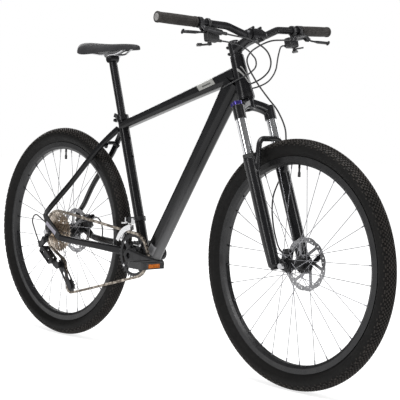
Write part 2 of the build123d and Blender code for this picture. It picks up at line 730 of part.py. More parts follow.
def bottle_bosses():
    """Point on the tube wall, outward normal and insert depth of each bottle boss."""
    down_dir = Vector(292 + 85, 0, 898 - 318).normalized()
    down_normal = Vector(-down_dir.Z, 0, down_dir.X)
    seat_dir = (Vector(*SEAT_TUBE_TOP) - Vector(*SEAT_TUBE_FOOT)).normalized()
    seat_normal = Vector(seat_dir.Z, 0, -seat_dir.X)
    bosses = []
    for distance in (140.0, 204.0):
        point = Vector(-85, 0, 318) + down_dir * distance + down_normal * 23.6
        bosses.append((tuple(point), tuple(down_normal), 10.0))
    for distance in (330.0, 394.0):
        point = Vector(*SEAT_TUBE_FOOT) + seat_dir * distance
        point += seat_normal * SEAT_TUBE_RADIUS
        bosses.append((tuple(point), tuple(seat_normal), 3.2))
    return bosses


def stay(points, sizes, side=(0, 1, 0)):
    """Stay through stations, each with its width, height and corner radius."""
    sections = []
    for index, (point, (w, h, c)) in enumerate(zip(points, sizes)):
        before = points[max(index - 1, 0)]
        after = points[min(index + 1, len(points) - 1)]
        heading = Vector(*after) - Vector(*before)
        sections.append(rounded_section(point, heading, w, h, c, side))
    return loft(sections)


def dropout(hanger):
    """Axle plate on the right, from the seat stay's foot to the chain stay's heel."""
    inner = -REAR_OLD / 2
    outer = inner - DROPOUT_THICKNESS
    x, z = REAR_AXLE[0], REAR_AXLE[2]
    body = bar_plate([(x - 20, z + 56), (x + 2, z + 30), (x + 68, z - 14)],
                     [9.0, 15.0, 11.5], inner, outer)
    body += bar_plate([(x + 2, z + 30), (x, z)], [15.0, 15.0], inner, outer)
    if hanger:
        body += bar_plate([(x - 4, z + 6), (x - 10, z - 28)], [12.0, 9.0], inner, outer)
        body -= across(5.0, inner + 1, outer - 1, x - 10, z - 28)
    slot = bar_plate([(x, z), (x + 8, z - 30)], [4.6, 4.6], inner + 2, outer - 2)
    return body - slot


def build_rear_triangle():
    inner = -REAR_OLD / 2 - DROPOUT_THICKNESS / 2
    lower = [(-128.0, -24.0, 331.0), (-185.0, -31.0, 334.0), (-250.0, -43.5, 339.0),
             (-370.0, -57.0, 345.0), (-500.0, inner, 352.0)]
    lower_sizes = [(18, 34, 7), (15, 30, 6.5), (15, 26, 6), (16, 23, 6), (12, 21, 4)]
    shell = across(SHELL_RADIUS, -SHELL_HALF_WIDTH, SHELL_HALF_WIDTH,
                   BOTTOM_BRACKET[0], BOTTOM_BRACKET[2])
    seat_solid = rod(SEAT_TUBE_FOOT, SEAT_TUBE_TOP, SEAT_TUBE_RADIUS)
    right_lower = stay(lower, lower_sizes) - shell - seat_solid
    right_plate = dropout(True)
    left_plate = mirrored(dropout(False))
    # A gusset plate on the left carries the brake caliper's two bolts.
    x, z = REAR_AXLE[0], REAR_AXLE[2]
    caliper_tab = bar_plate([(x + 30, z + 14), (x + 72, z + 56)], [9.0, 7.0],
                            REAR_OLD / 2 - 1.9, REAR_OLD / 2 + DROPOUT_THICKNESS)
    bridge = rod((-187, -31, 335), (-187, 31, 335), 8)
    right_lower = right_lower - right_plate
    left_lower = mirrored(stay(lower, lower_sizes) - shell - seat_solid) - left_plate
    left_lower -= rod(REAR_CALIPER_LINE[-1], REAR_CALIPER_LINE[-2], HOSE_RADIUS + 0.1)
    right_plate -= rod(REAR_LOOP[-1], REAR_LOOP[-2], HOUSING_RADIUS + 0.1)
    bridge = bridge - right_lower - left_lower
    left_plate = left_plate + (caliper_tab - left_lower)
    save("frame_chainstays", right_lower, left_lower, bridge, right_plate, left_plate)

    upper = [(-262.0, -12.0, 738.0), (-300.0, -23.0, 707.0), (-345.0, -36.0, 664.0),
             (-400.0, -44.0, 611.0), (-500.0, -57.0, 515.0), (-588.0, inner, 430.0)]
    upper_sizes = [(16, 22, 6), (15, 21, 6), (15, 20, 6), (15, 19, 6), (14, 18, 5), (11, 17, 4)]
    right_upper = stay(upper, upper_sizes) - seat_solid - right_plate
    left_upper = mirrored(stay(upper, upper_sizes) - seat_solid) - left_plate
    arch = tube_along([(-306, -28, 676), (-316, -16, 690), (-316, 16, 690), (-306, 28, 676)],
                      6.0, [9.0, 9.0])
    arch = arch - right_upper - left_upper
    pair = [max(s.solids(), key=lambda k: k.volume) for s in (right_upper, left_upper)]
    save("frame_seatstays", *pair, max(arch.solids(), key=lambda k: k.volume))


# ---- seat post, collar and saddle ---------------------------------------------------
POST_DIR = (Vector(*SEAT_TUBE_TOP) - Vector(*SEAT_TUBE_FOOT)).normalized()
POST_X = Vector(POST_DIR.Z, 0, -POST_DIR.X)


def post_point(distance, offset=0.0, y=0.0):
    """Point along the seat tube's axis from the seat tube's top edge."""
    p = Vector(*SEAT_TUBE_TOP) + POST_DIR * distance + POST_X * offset + Vector(0, y, 0)
    return tuple(p)


CLAMP_X = SEATPOST_TOP[0] - 2
RAIL_Z = SEATPOST_TOP[2] + 16


def build_seat():
    pinch = -5.5
    ear_offset = -25.0
    collar = rod(post_point(-14), post_point(3), 21.5)
    collar += rod(post_point(pinch, ear_offset, -9), post_point(pinch, ear_offset, 9), 7.0)
    collar += rod(post_point(pinch, -18, -9), post_point(pinch, -18, 9), 7.0)
    collar -= rod(post_point(-15), post_point(0), SEAT_TUBE_RADIUS + 0.03)
    collar -= rod(post_point(-1), post_point(4), SEATPOST_RADIUS + 0.3)
    slit = Plane(origin=post_point(-5), x_dir=tuple(POST_X), z_dir=tuple(POST_DIR))
    collar -= slit.location * Pos(-28, 0, 0) * Box(30, 3.0, 30)
    collar -= rod(post_point(pinch, ear_offset, -30), post_point(pinch, ear_offset, 30), 2.6)
    collar -= rod(post_point(pinch, ear_offset, 9.05), post_point(pinch, ear_offset, 30), 8.8)
    cam = Plane(origin=post_point(pinch, ear_offset, 9.0), x_dir=(-0.9, 0, 0.42), z_dir=(0, 1, 0))
    head, lever = cam_lever(cam, 0.7)
    skewer = rod(post_point(pinch, ear_offset, -15), post_point(pinch, ear_offset, 9), 2.5)
    nut = rod(post_point(pinch, ear_offset, -16), post_point(pinch, ear_offset, -9.2), 5.5)
    save("seat_collar", collar, nut - skewer, skewer, head)
    save("seat_qr_lever", lever)

    post = rod(post_point(-115), post_point(190), SEATPOST_RADIUS)
    post -= rod(post_point(-116), post_point(176), 11.4)
    post += across(15, -17, 17, CLAMP_X + 1, RAIL_Z - 13)
    post -= across(CRADLE_RADIUS + 0.3, -20, 20, CLAMP_X, RAIL_Z)
    save("seatpost", post)

    cradle = across(CRADLE_RADIUS, -28, 28, CLAMP_X, RAIL_Z)
    cradle -= Pos(CLAMP_X, 0, RAIL_Z + 9.2) * Box(60, 60, 20)
    cap = Pos(CLAMP_X, 0, RAIL_Z + 3.8) * Box(32, 54, 7)
    saddle, channel = saddle_shapes()
    shell = saddle - channel
    rails = []
    for side in (1, -1):
        route = [(CLAMP_X - 118, side * 36, RAIL_Z + 26), (CLAMP_X - 76, side * 32, RAIL_Z + 5),
                 (CLAMP_X - 40, side * 22, RAIL_Z), (CLAMP_X + 42, side * 22, RAIL_Z),
                 (CLAMP_X + 108, side * 9, RAIL_Z + 28)]
        rails.append(tube_along(route, 3.5, [26, 40, 60]))
    cap, cradle = cap - rails, cradle - rails
    ends_trimmed = [max((rail - shell).solids(), key=lambda k: k.volume) for rail in rails]
    save("saddle_rails", *ends_trimmed, cap, cradle)
    save("saddle", shell)


CRADLE_RADIUS = 11.0


def saddle_shapes():
    """Saddle with wide wings and a narrow nose, and the channel under it for the rails."""
    stations = [(-452, 60, 20, 1013), (-432, 118, 38, 1007), (-395, 140, 44, 1006),
                (-340, 104, 36, 1010), (-280, 60, 30, 1013), (-215, 42, 26, 1013),
                (-180, 28, 16, 1013)]
    saddle = loft([rounded_section((x, 0, z), (1, 0, 0), w, h, min(w, h) * 0.42)
                   for x, w, h, z in stations])
    hollow = [(-442, 72, 982), (-395, 96, 982), (-340, 70, 982), (-280, 40, 982),
              (-214, 26, 982)]
    roof = RAIL_Z + 19.0
    channel = loft([Plane(origin=(x, 0, (z + roof) / 2), x_dir=(0, 1, 0), z_dir=(1, 0, 0))
                    * Rectangle(w, roof - z) for x, w, z in hollow])
    return saddle, channel


# ---- front end: headset, stem, bar, controls ----------------------------------------
def bar_point(y):
    """Centre line of the handlebar in the steering frame, at a distance to the left."""
    side = 1 if y >= 0 else -1
    stations = ((0.0, 0.0, 0.0), (42.0, 0.0, 0.0), (105.0, -3.0, 24.0),
                (BAR_END_Y, -20.6, 41.9))
    for (y0, x0, z0), (y1, x1, z1) in zip(stations, stations[1:]):
        if abs(y) <= y1:
            t = (abs(y) - y0) / (y1 - y0)
            return (STEM_LENGTH + x0 + (x1 - x0) * t, side * abs(y),
                    BAR_HEIGHT + z0 + (z1 - z0) * t)
    return (STEM_LENGTH + x1, y, BAR_HEIGHT + z1)


STEERER_TOP = 166.0


def build_front_end():
    low_cup = sleeve((0, 0, -12), (0, 0, 0), 26.5, STEERER_RADIUS + 3)
    high_cup = sleeve((0, 0, HEAD_TUBE_LENGTH), (0, 0, 124), 21.0, STEERER_RADIUS + 0.1)
    race = sleeve((0, 0, -16), (0, 0, -12.1), 24, STEERER_RADIUS + 0.05)
    spacer = sleeve((0, 0, 124.1), (0, 0, 128), 17.5, STEERER_RADIUS + 0.05)
    top_cap = rod((0, 0, 168.2), (0, 0, 172), 16.5)
    top_bolt = rod((0, 0, 172), (0, 0, 173.5), 5)
    lift = Pos(0, 0, 0.3)
    save("headset", local(Pos(0, 0, -0.3) * low_cup), local(lift * high_cup),
         local(Pos(0, 0, -0.4) * race), local(Pos(0, 0, 0.3) * spacer),
         local(top_cap), local(top_bolt))

    clamp = rod((0, 0, 128.5), (0, 0, 168), 19.0)
    clamp += rod((-20, -10, 138), (-20, 10, 138), 5.5) + rod((-20, -10, 159), (-20, 10, 159), 5.5)
    neck_sections = [rounded_section((10, 0, 148), (1, 0, 0.08), 34, 36, 12),
                     rounded_section((50, 0, 151), (1, 0, 0.08), 32, 30, 12),
                     rounded_section((STEM_LENGTH - 14, 0, BAR_HEIGHT - 1), (1, 0, 0.08), 40, 34, 10)]
    stem = clamp + loft(neck_sections)
    stem += rod((STEM_LENGTH, -22, BAR_HEIGHT), (STEM_LENGTH, 22, BAR_HEIGHT), 20.5)
    stem -= rod((0, 0, 120), (0, 0, 167.9), STEERER_RADIUS + 0.02)
    stem -= rod((STEM_LENGTH, -30, BAR_HEIGHT), (STEM_LENGTH, 30, BAR_HEIGHT),
                BAR_CLAMP_RADIUS + 0.02)
    stem -= Pos(-26, 0, 148) * Box(30, 2, 60)
    split = Pos(STEM_LENGTH + 2, 0, BAR_HEIGHT) * Box(1.6, 60, 60)
    stem -= split
    bolts = []
    for y in (-15, 15):
        for dz in (-18.3, 18.3):
            start = (STEM_LENGTH - 8, y, BAR_HEIGHT + dz)
            end = (STEM_LENGTH + 15, y, BAR_HEIGHT + dz)
            stem += rod(start, (STEM_LENGTH + 1.1, y, BAR_HEIGHT + dz), 4.2)
            stem += rod((STEM_LENGTH + 2.9, y, BAR_HEIGHT + dz), end, 4.2)
    stem -= rod((STEM_LENGTH, -30, BAR_HEIGHT), (STEM_LENGTH, 30, BAR_HEIGHT),
                BAR_CLAMP_RADIUS + 0.02)
    for y in (-15, 15):
        for dz in (-18.3, 18.3):
            end = STEM_LENGTH + 15.1
            bolts.append(rod((end, y, BAR_HEIGHT + dz), (end + 3, y, BAR_HEIGHT + dz), 3.6))
    for z in (138, 159):
        bolts.append(rod((-20, -13.2, z), (-20, -10.1, z), 3.8))
    save("stem", *[local(s) for s in (*stem.solids(), *bolts)])

    route = [bar_point(y) for y in (-BAR_END_Y, -105, -42, 42, 105, BAR_END_Y)]
    bar = tube_along(route, BAR_RADIUS, [60, 50, 50, 60])
    bulge = make_face(Polyline((0, -40, 0), (12.4, -40, 0), (BAR_CLAMP_RADIUS, -33, 0),
                               (BAR_CLAMP_RADIUS, 33, 0), (12.4, 40, 0), (0, 40, 0), close=True))
    bar += Pos(STEM_LENGTH, 0, BAR_HEIGHT) * revolve(bulge, axis=Axis.Y)
    save("handlebar", local(bar))

    grips = []
    for side in (1, -1):
        outer_end, inner_end = bar_point(side * BAR_END_Y), bar_point(side * (BAR_END_Y - GRIP_LENGTH))
        reach = (Vector(*outer_end) - Vector(*inner_end)).normalized()
        cap_end = tuple(Vector(*outer_end) + reach * 3)
        grip = rod(inner_end, cap_end, GRIP_RADIUS)
        start = tuple(Vector(*inner_end) - reach * 1)
        grip -= rod(start, tuple(Vector(*outer_end) + reach * 0.1), BAR_RADIUS + 0.03)
        grips.append(grip)
    save("grips", *[local(g) for g in grips])


def bar_plane(y):
    """Frame on the handlebar at y: z along the bar outwards, x forward and level-ish."""
    side = 1 if y >= 0 else -1
    outward = (Vector(*bar_point(y + side * 5)) - Vector(*bar_point(y))).normalized()
    return Plane(origin=bar_point(y), x_dir=Vector(1, 0, 0) - outward * outward.X, z_dir=outward)


BRAKE_Y = 205.0
SHIFT_Y = 176.0
LEVER_LEAN = 58.0
SHIFTER_LEAN = 98.0


def bar_spot(side, y, lean, radius, outboard):
    """Point in the steering frame at a lean and a radius about the bar."""
    down = 1 if side > 0 else -1
    a = radians(lean)
    point = Vector(radius * cos(a), down * radius * sin(a), outboard)
    return tuple(bar_plane(side * y).from_local_coords(point))


# Each line starts inside its fitting: these are its first two points, right and left.
BRAKE_BARREL = {side: (bar_spot(side, BRAKE_Y, LEVER_LEAN, 43.925, -70),
                       bar_spot(side, BRAKE_Y, LEVER_LEAN, 49.385, -98)) for side in (-1, 1)}
SHIFT_BARREL = {side: (bar_spot(side, SHIFT_Y, SHIFTER_LEAN, 48, -40),
                       bar_spot(side, SHIFT_Y, SHIFTER_LEAN, 48, -66)) for side in (-1, 1)}


def brake_perch(lean):
    """Clamp, master cylinder and hinge lug; the cylinder's hose end points inboard."""
    clamp = Cylinder(BAR_RADIUS + 5.5, 13) + lean * Pos(19, 0, 0) * Box(20, 13, 13)
    clamp -= Cylinder(BAR_RADIUS + 0.03, 20)
    body = lean * rod((30, 0, 2), (41.7, 0, -58), 8.5)
    body += lean * Pos(37, 0, 4) * Box(24, 12, 18)
    body += lean * rod((41, 0, -55), (45, 0, -75.5), 5.0)
    perch = clamp + body
    perch -= lean * rod((45.017, 0, -75.6), (43.4375, 0, -67.5), HOSE_RADIUS + 0.1)
    perch -= lean * (Pos(46, 0, 12) * Box(24, 6.8, 26))
    return perch + lean * (Pos(43, 0, 6) * Rot(90, 0, 0) * Cylinder(2.0, 11.9))


def brake_blade(lean):
    """Two-finger lever blade hinged on the perch's pin, with a ball at its tip."""
    tip = (61, 0, 92)
    blade = tube_along([(43, 0, 6), (52, 0, 17), (57, 0, 46), tip], 2.8, [9, 40])
    blade += Pos(*tip) * Sphere(4.6)
    blade += Pos(43, 0, 6) * Rot(90, 0, 0) * Cylinder(4.3, 6.3)
    blade -= Pos(43, 0, 6) * Rot(90, 0, 0) * Cylinder(2.0 + RUNNING_GAP, 12)
    return lean * blade


def shifter_pod(lean):
    """Hanging shifter body with its clamp, cable barrel and the post for its two levers."""
    ring = Cylinder(BAR_RADIUS + 4.5, 9)
    neck = lean * (Pos(18, 0, 0) * Box(14, 16, 9))
    box = Pos(38, 0, -12) * Box(32, 26, 44)
    pod = ring + neck + lean * fillet(box.edges(), 6)
    pod += lean * rod((48, 0, -20), (48, 0, -47), 4.5)
    pod -= lean * rod((48, 0, -48), (48, 0, -38), HOUSING_RADIUS + 0.1)
    pod += lean * rod((53, 0, -2), (65, 0, -2), 2.0)
    pod += lean * rod((64.6, 0, -2), (66, 0, -2), 4.0)
    return pod - Cylinder(BAR_RADIUS + 0.03, 120)


def shifter_levers(lean, down):
    """Thumb lever and release lever, stacked on the pod's post."""
    thumb = rod((60.4, 0, -2), (64.3, 0, -2), 7.0)
    thumb += Pos(62.35, down * 9, 10) * Rot(down * -40, 0, 0) * Box(3.9, 9, 32)
    thumb += Pos(61.3, down * 18, 22) * Rot(down * -25, 0, 0) * Box(6, 16, 14)
    thumb -= rod((50, 0, -2), (70, 0, -2), 2.0 + RUNNING_GAP)
    release = rod((56.2, 0, -2), (60.1, 0, -2), 6.0)
    release += Pos(58.15, down * -13, 6) * Rot(down * 50, 0, 0) * Box(3.9, 8, 26)
    release -= rod((50, 0, -2), (70, 0, -2), 2.0 + RUNNING_GAP)
    return lean * thumb, lean * release


def build_controls():
    """Brake perches and shifters on the bar, each with its levers, left and right."""
    perches, pods = [], []
    for side, name in ((-1, "right"), (1, "left")):
        # In a bar frame +z runs outboard and +x forward, so down is +y left and -y right.
        down = 1 if side > 0 else -1
        lean = Rot(0, 0, down * LEVER_LEAN)
        brake_frame = bar_plane(side * BRAKE_Y).location
        perches.append(local(brake_frame * brake_perch(lean)))
        save(f"brake_lever_{name}", local(brake_frame * brake_blade(lean)))
        hang = Rot(0, 0, down * SHIFTER_LEAN)
        shift_frame = bar_plane(side * SHIFT_Y).location
        pods.append(local(shift_frame * shifter_pod(hang)))
        thumb, release = shifter_levers(hang, down)
        save(f"shift_thumb_{name}", local(shift_frame * thumb))
        save(f"shift_release_{name}", local(shift_frame * release))
    save("brake_lever_housings", *perches)
    save("shifter_housings", *pods)


# Routes in the steering frame, from the control to the port in the down tube.
REAR_GEAR_LINE = [*SHIFT_BARREL[-1], (94, -80, 120), (95, -45, 106), (87, -12, 80),
                  (72, -3, 62), (50, -9, 52), (32, -20, 47), (-5, -31, 44), (-50, -29, 45),
                  (-85, -14, 46)]
REAR_BRAKE_LINE = [*BRAKE_BARREL[-1], (124, -70, 130), (131, -36, 113), (131, -2, 90),
                   (116, 20, 64), (88, 33, 46), (51, 38, 38), (11, 37, 36), (-44, 33, 46),
                   (-85, 14, 52)]
FRONT_GEAR_LINE = [*SHIFT_BARREL[1], (75, 98, 100), (66, 84, 55), (50, 60, 26), (20, 43, 20),
                   (-35, 35, 29), (-80, 14, 34)]
FRONT_BRAKE_LINE = [*BRAKE_BARREL[1], (85, 76, 147), (66, 44, 138), (48, 14, 122),
                    (38, -2, 100), (34, 4, 72), (32, 28, 25), (28, 66, -22), (27, 92, -52),
                    (38, 93, -92), (42, 93, -125), (26, 92, -185), (0, 88, -240),
                    (-24, 79, -270), (-48, 70, -302), (-60, 62, -346), (-61, 52, -407),
                    (-52, 45, -468), (-27, 44, -500)]
# Routes in world coordinates.
REAR_LOOP = [(-612, -79, 322), (-627, -85, 358), (-650, -87, 402), (-640, -80, 428),
             (-611, -72, 410), (-585, -70.5, 397)]
REAR_CALIPER_LINE = [(-498, 56, 409), (-468, 57, 426), (-440, 60, 414), (-428, 61, 382),
                     (-432, 62, 348)]
PORT_RADIUS = 3.6


LUG_Y = (52.6, 66.0)


# ---- fork ---------------------------------------------------------------------------
def build_fork():
    steerer = rod((0, 0, -45), (0, 0, STEERER_TOP), STEERER_RADIUS)
    steerer -= rod((0, 0, -46), (0, 0, STEERER_TOP + 1), STEERER_RADIUS - 2.5)
    crown = rod((0, 0, -48), (0, 0, -16.6), 22)
    for side in (1, -1):
        arm = loft([rounded_section((2, side * 8, -32), (0, 1, 0), 38, 30, 9, (1, 0, 0)),
                    rounded_section((12, side * 36, -42), (0, 1, -0.3 * side), 32, 28, 9, (1, 0, 0)),
                    rounded_section((LEG_OFFSET, side * LEG_SPACING, -58), (0, 1, -0.4 * side),
                                    28, 34, 9, (1, 0, 0))])
        crown += arm
        crown += rod((LEG_OFFSET, side * LEG_SPACING, CROWN_BOTTOM),
                     (LEG_OFFSET, side * LEG_SPACING, -42), 18.0)
    crown -= rod((0, 0, -60), (0, 0, -10), STEERER_RADIUS + 0.02)
    for side in (1, -1):
        crown -= rod((LEG_OFFSET, side * LEG_SPACING, -100),
                     (LEG_OFFSET, side * LEG_SPACING, -46), STANCHION_RADIUS + 0.02)
    # Pocket in the right leg's top for the lockout knob and its tab.
    crown -= rod((LEG_OFFSET, -LEG_SPACING, -41.9), (LEG_OFFSET, -LEG_SPACING, -10), 22.5)
    save("fork_crown", local(crown), local(steerer))

    stanchions = []
    for side in (1, -1):
        spot = (LEG_OFFSET, side * LEG_SPACING)
        leg = rod((*spot, -340), (*spot, -46.2), STANCHION_RADIUS)
        leg -= rod((*spot, -341), (*spot, -52), STANCHION_RADIUS - 1.6)
        stanchions.append(leg)
    save("fork_stanchions", *[local(s) for s in stanchions])

    knob = rod((LEG_OFFSET, -LEG_SPACING, -41.6), (LEG_OFFSET, -LEG_SPACING, -31), 14.5)
    knob += Pos(LEG_OFFSET - 13, -LEG_SPACING - 4, -36.3) * Box(14, 9, 10.6)
    save("lockout_knob", local(knob))

    # Lowers: two hollow legs, the arch in front of them and the dropouts at their feet.
    axle_x, axle_z = AXLE_LOCAL.X, AXLE_LOCAL.Z
    lowers, bores = None, []
    for side in (1, -1):
        y = side * LEG_SPACING
        leg = loft([
            Plane(origin=(LEG_OFFSET, y, SEAL_TOP - SEAL_HEIGHT)) * Circle(20.5),
            Plane(origin=(LEG_OFFSET, y, -300)) * Circle(20.0),
            Plane(origin=(LEG_OFFSET, y, axle_z + 40)) * Circle(18.5),
            Plane(origin=(LEG_OFFSET, y, axle_z + 6)) * Circle(17.0),
        ])
        foot = rod((LEG_OFFSET, y, axle_z - 4), (LEG_OFFSET, y, axle_z + 7), 12.0)
        low, high = sorted((side * FRONT_OLD / 2, side * (FRONT_OLD / 2 + 7)))
        plate = bar_plate([(LEG_OFFSET + 2, axle_z + 22), (axle_x, axle_z)], [16.0, 14.0], low, high)
        leg = leg + foot + plate
        lowers = leg if lowers is None else lowers + leg
        bores.append(rod((LEG_OFFSET, y, axle_z + 40), (LEG_OFFSET, y, SEAL_TOP + 1),
                         STANCHION_RADIUS + 0.4))
    arch_route = [(34, -57, -252), (50, -56, -205), (56, -40, -158),
                  (56, 40, -158), (50, 56, -205), (34, 57, -252)]
    arch = tube_along(arch_route, 8.5, [22, 24, 24, 22])
    lowers = lowers + arch
    lowers -= bores
    for side in (1, -1):
        low, high = sorted((side * (FRONT_OLD / 2 - 14), side * (FRONT_OLD / 2 + 20)))
        slot = bar_plate([(axle_x, axle_z), (axle_x + 3, axle_z - 24)], [4.6, 4.6], low, high)
        lowers -= slot
        lowers -= bar_plate([(axle_x, axle_z), (axle_x + 0.1, axle_z)], [9.5, 9.5],
                            *sorted((side * 49.9, side * 30)))
    # Lugs behind the left leg that the caliper's outer face is bolted to.
    lowers += bar_plate([(LEG_OFFSET - 6, -472), (-8, -484)], [8.0, 7.0], *LUG_Y)
    lowers += bar_plate([(LEG_OFFSET - 6, -524), (-29, -523)], [8.0, 7.0], *LUG_Y)
    save("fork_lowers", local(lowers))

    seals = []
    for side in (1, -1):
        spot = (LEG_OFFSET, side * LEG_SPACING)
        seals.append(sleeve((*spot, SEAL_TOP - SEAL_HEIGHT + 0.2), (*spot, SEAL_TOP),
                            19.0, STANCHION_RADIUS + 0.05))
    save("fork_seals", *[local(s) for s in seals])


# ---- hub axles and their levers ------------------------------------------------------
def axle_set(half_width, extra, right_nut):
    """Hollow axle and its two locknuts, about the origin."""
    axle = ring_across(AXLE_RADIUS, 2.8, -half_width - extra, half_width + extra)
    nuts = [ring_across(8.0, AXLE_RADIUS, half_width - 6.5, half_width - 0.1),
            ring_across(8.0, AXLE_RADIUS, -half_width + 0.1, -half_width + right_nut)]
    return [axle, *nuts]


def cam_lever(plane, reach):
    """Slotted head on the end of a skewer and the cam lever on the head's cross pin.

    The plane's z axis runs outward along the skewer and its x axis along the shut lever.
    """
    pin_z = 7.5
    head = Pos(0, 0, 6.1) * Cylinder(8.5, 12.0)
    head -= Pos(0, 0, 12.7) * Box(20, 8.0, 20)
    head += Pos(0, 0, pin_z) * Rot(90, 0, 0) * Cylinder(1.6, 15.0)
    stations = [(0, pin_z, 4.6), (15, 9.6, 3.4), (15 + 22 * reach, 8.0, 3.0),
                (15 + 36 * reach, 4.8, 2.6)]
    lever = bar_plate([(x, z) for x, z, _ in stations[:2]], [r for *_, r in stations[:2]], -3.8, 3.8)
    for (x_1, z_1, r_1), (x_2, z_2, r_2) in zip(stations[1:], stations[2:]):
        half = 6.5
        lever += bar_plate([(x_1 + 1, z_1), (x_2, z_2)], [r_1, r_2], -half, half)
    lever -= Pos(0, 0, pin_z) * Rot(90, 0, 0) * Cylinder(1.6 + RUNNING_GAP, 20)
    return plane.location * head, plane.location * lever


def build_axles():
    for name, half, thickness, extra, right_nut, spot, shut in (
            ("front", FRONT_OLD / 2, 7.0, 5.5, 6.5, FRONT_AXLE, (0.82, 0, 0.57)),
            ("rear", REAR_OLD / 2, DROPOUT_THICKNESS, 5.0, 4.8, REAR_AXLE, (-0.7, 0, 0.7))):
        face = half + thickness
        skewer = across(2.5, -face - 12, face)
        nut = ring_across(8.5, 2.5, -face - 12, -face - 0.1)
        pieces = place([*axle_set(half, extra, right_nut), skewer, nut], spot)
        cam = Plane(origin=(spot[0], face, spot[2]), x_dir=shut, z_dir=(0, 1, 0))
        head, lever = cam_lever(cam, 1.0)
        save(f"{name}_axle", *pieces, head)
        save(f"{name}_qr_lever", lever)


# ---- brake calipers -------------------------------------------------------------------
def caliper(y):
    """Caliper about the disc's plane: two halves joined over the edge, with two pads."""
    body = Box(46, 26, 28)
    body = fillet(body.edges().filter_by(Axis.X), 5)
    body -= Pos(0, 0, -6) * Box(60, 5.6, 26)
    body += rod((-16, 0, 13), (-16, 0, 17), 4) + rod((16, 0, 13), (16, 0, 17), 4)
    pads = [Pos(0, 1.9, -4) * Box(26, 1.6, 20), Pos(0, -1.9, -4) * Box(26, 1.6, 20)]
    return [Pos(0, y, 0) * s for s in (body, *pads)]


def build_calipers():
    spot = Pos(AXLE_LOCAL.X - 66.2, 0, AXLE_LOCAL.Z + 38.2) * Rot(0, -60, 0)
    body, *pads = [spot * p for p in caliper(38.6 + 0.9)]
    body -= rod(FRONT_BRAKE_LINE[-1], FRONT_BRAKE_LINE[-2], HOSE_RADIUS + 0.1)
    save("front_brake_caliper", *[local(s) for s in (body, *pads)])
    rear_spot = Pos(REAR_AXLE[0] + 65, 0, REAR_AXLE[2] + 37) * Rot(0, 60, 0)
    body, *pads = [rear_spot * p for p in caliper(51.6 + 0.9)]
    body -= rod(REAR_CALIPER_LINE[0], REAR_CALIPER_LINE[1], HOSE_RADIUS + 0.1)
    save("rear_brake_caliper", body, *pads)


# ---- derailleurs ------------------------------------------------------------------------
LINK_AXIS = Vector(0.8, 0, 0.6)
LINK_REST = radians(17.0)
LINK_DIR = Vector(0.6 * cos(LINK_REST), sin(LINK_REST), -0.8 * cos(LINK_REST))
LINK_LENGTH = 52.0
LINK_GAP = 17.0


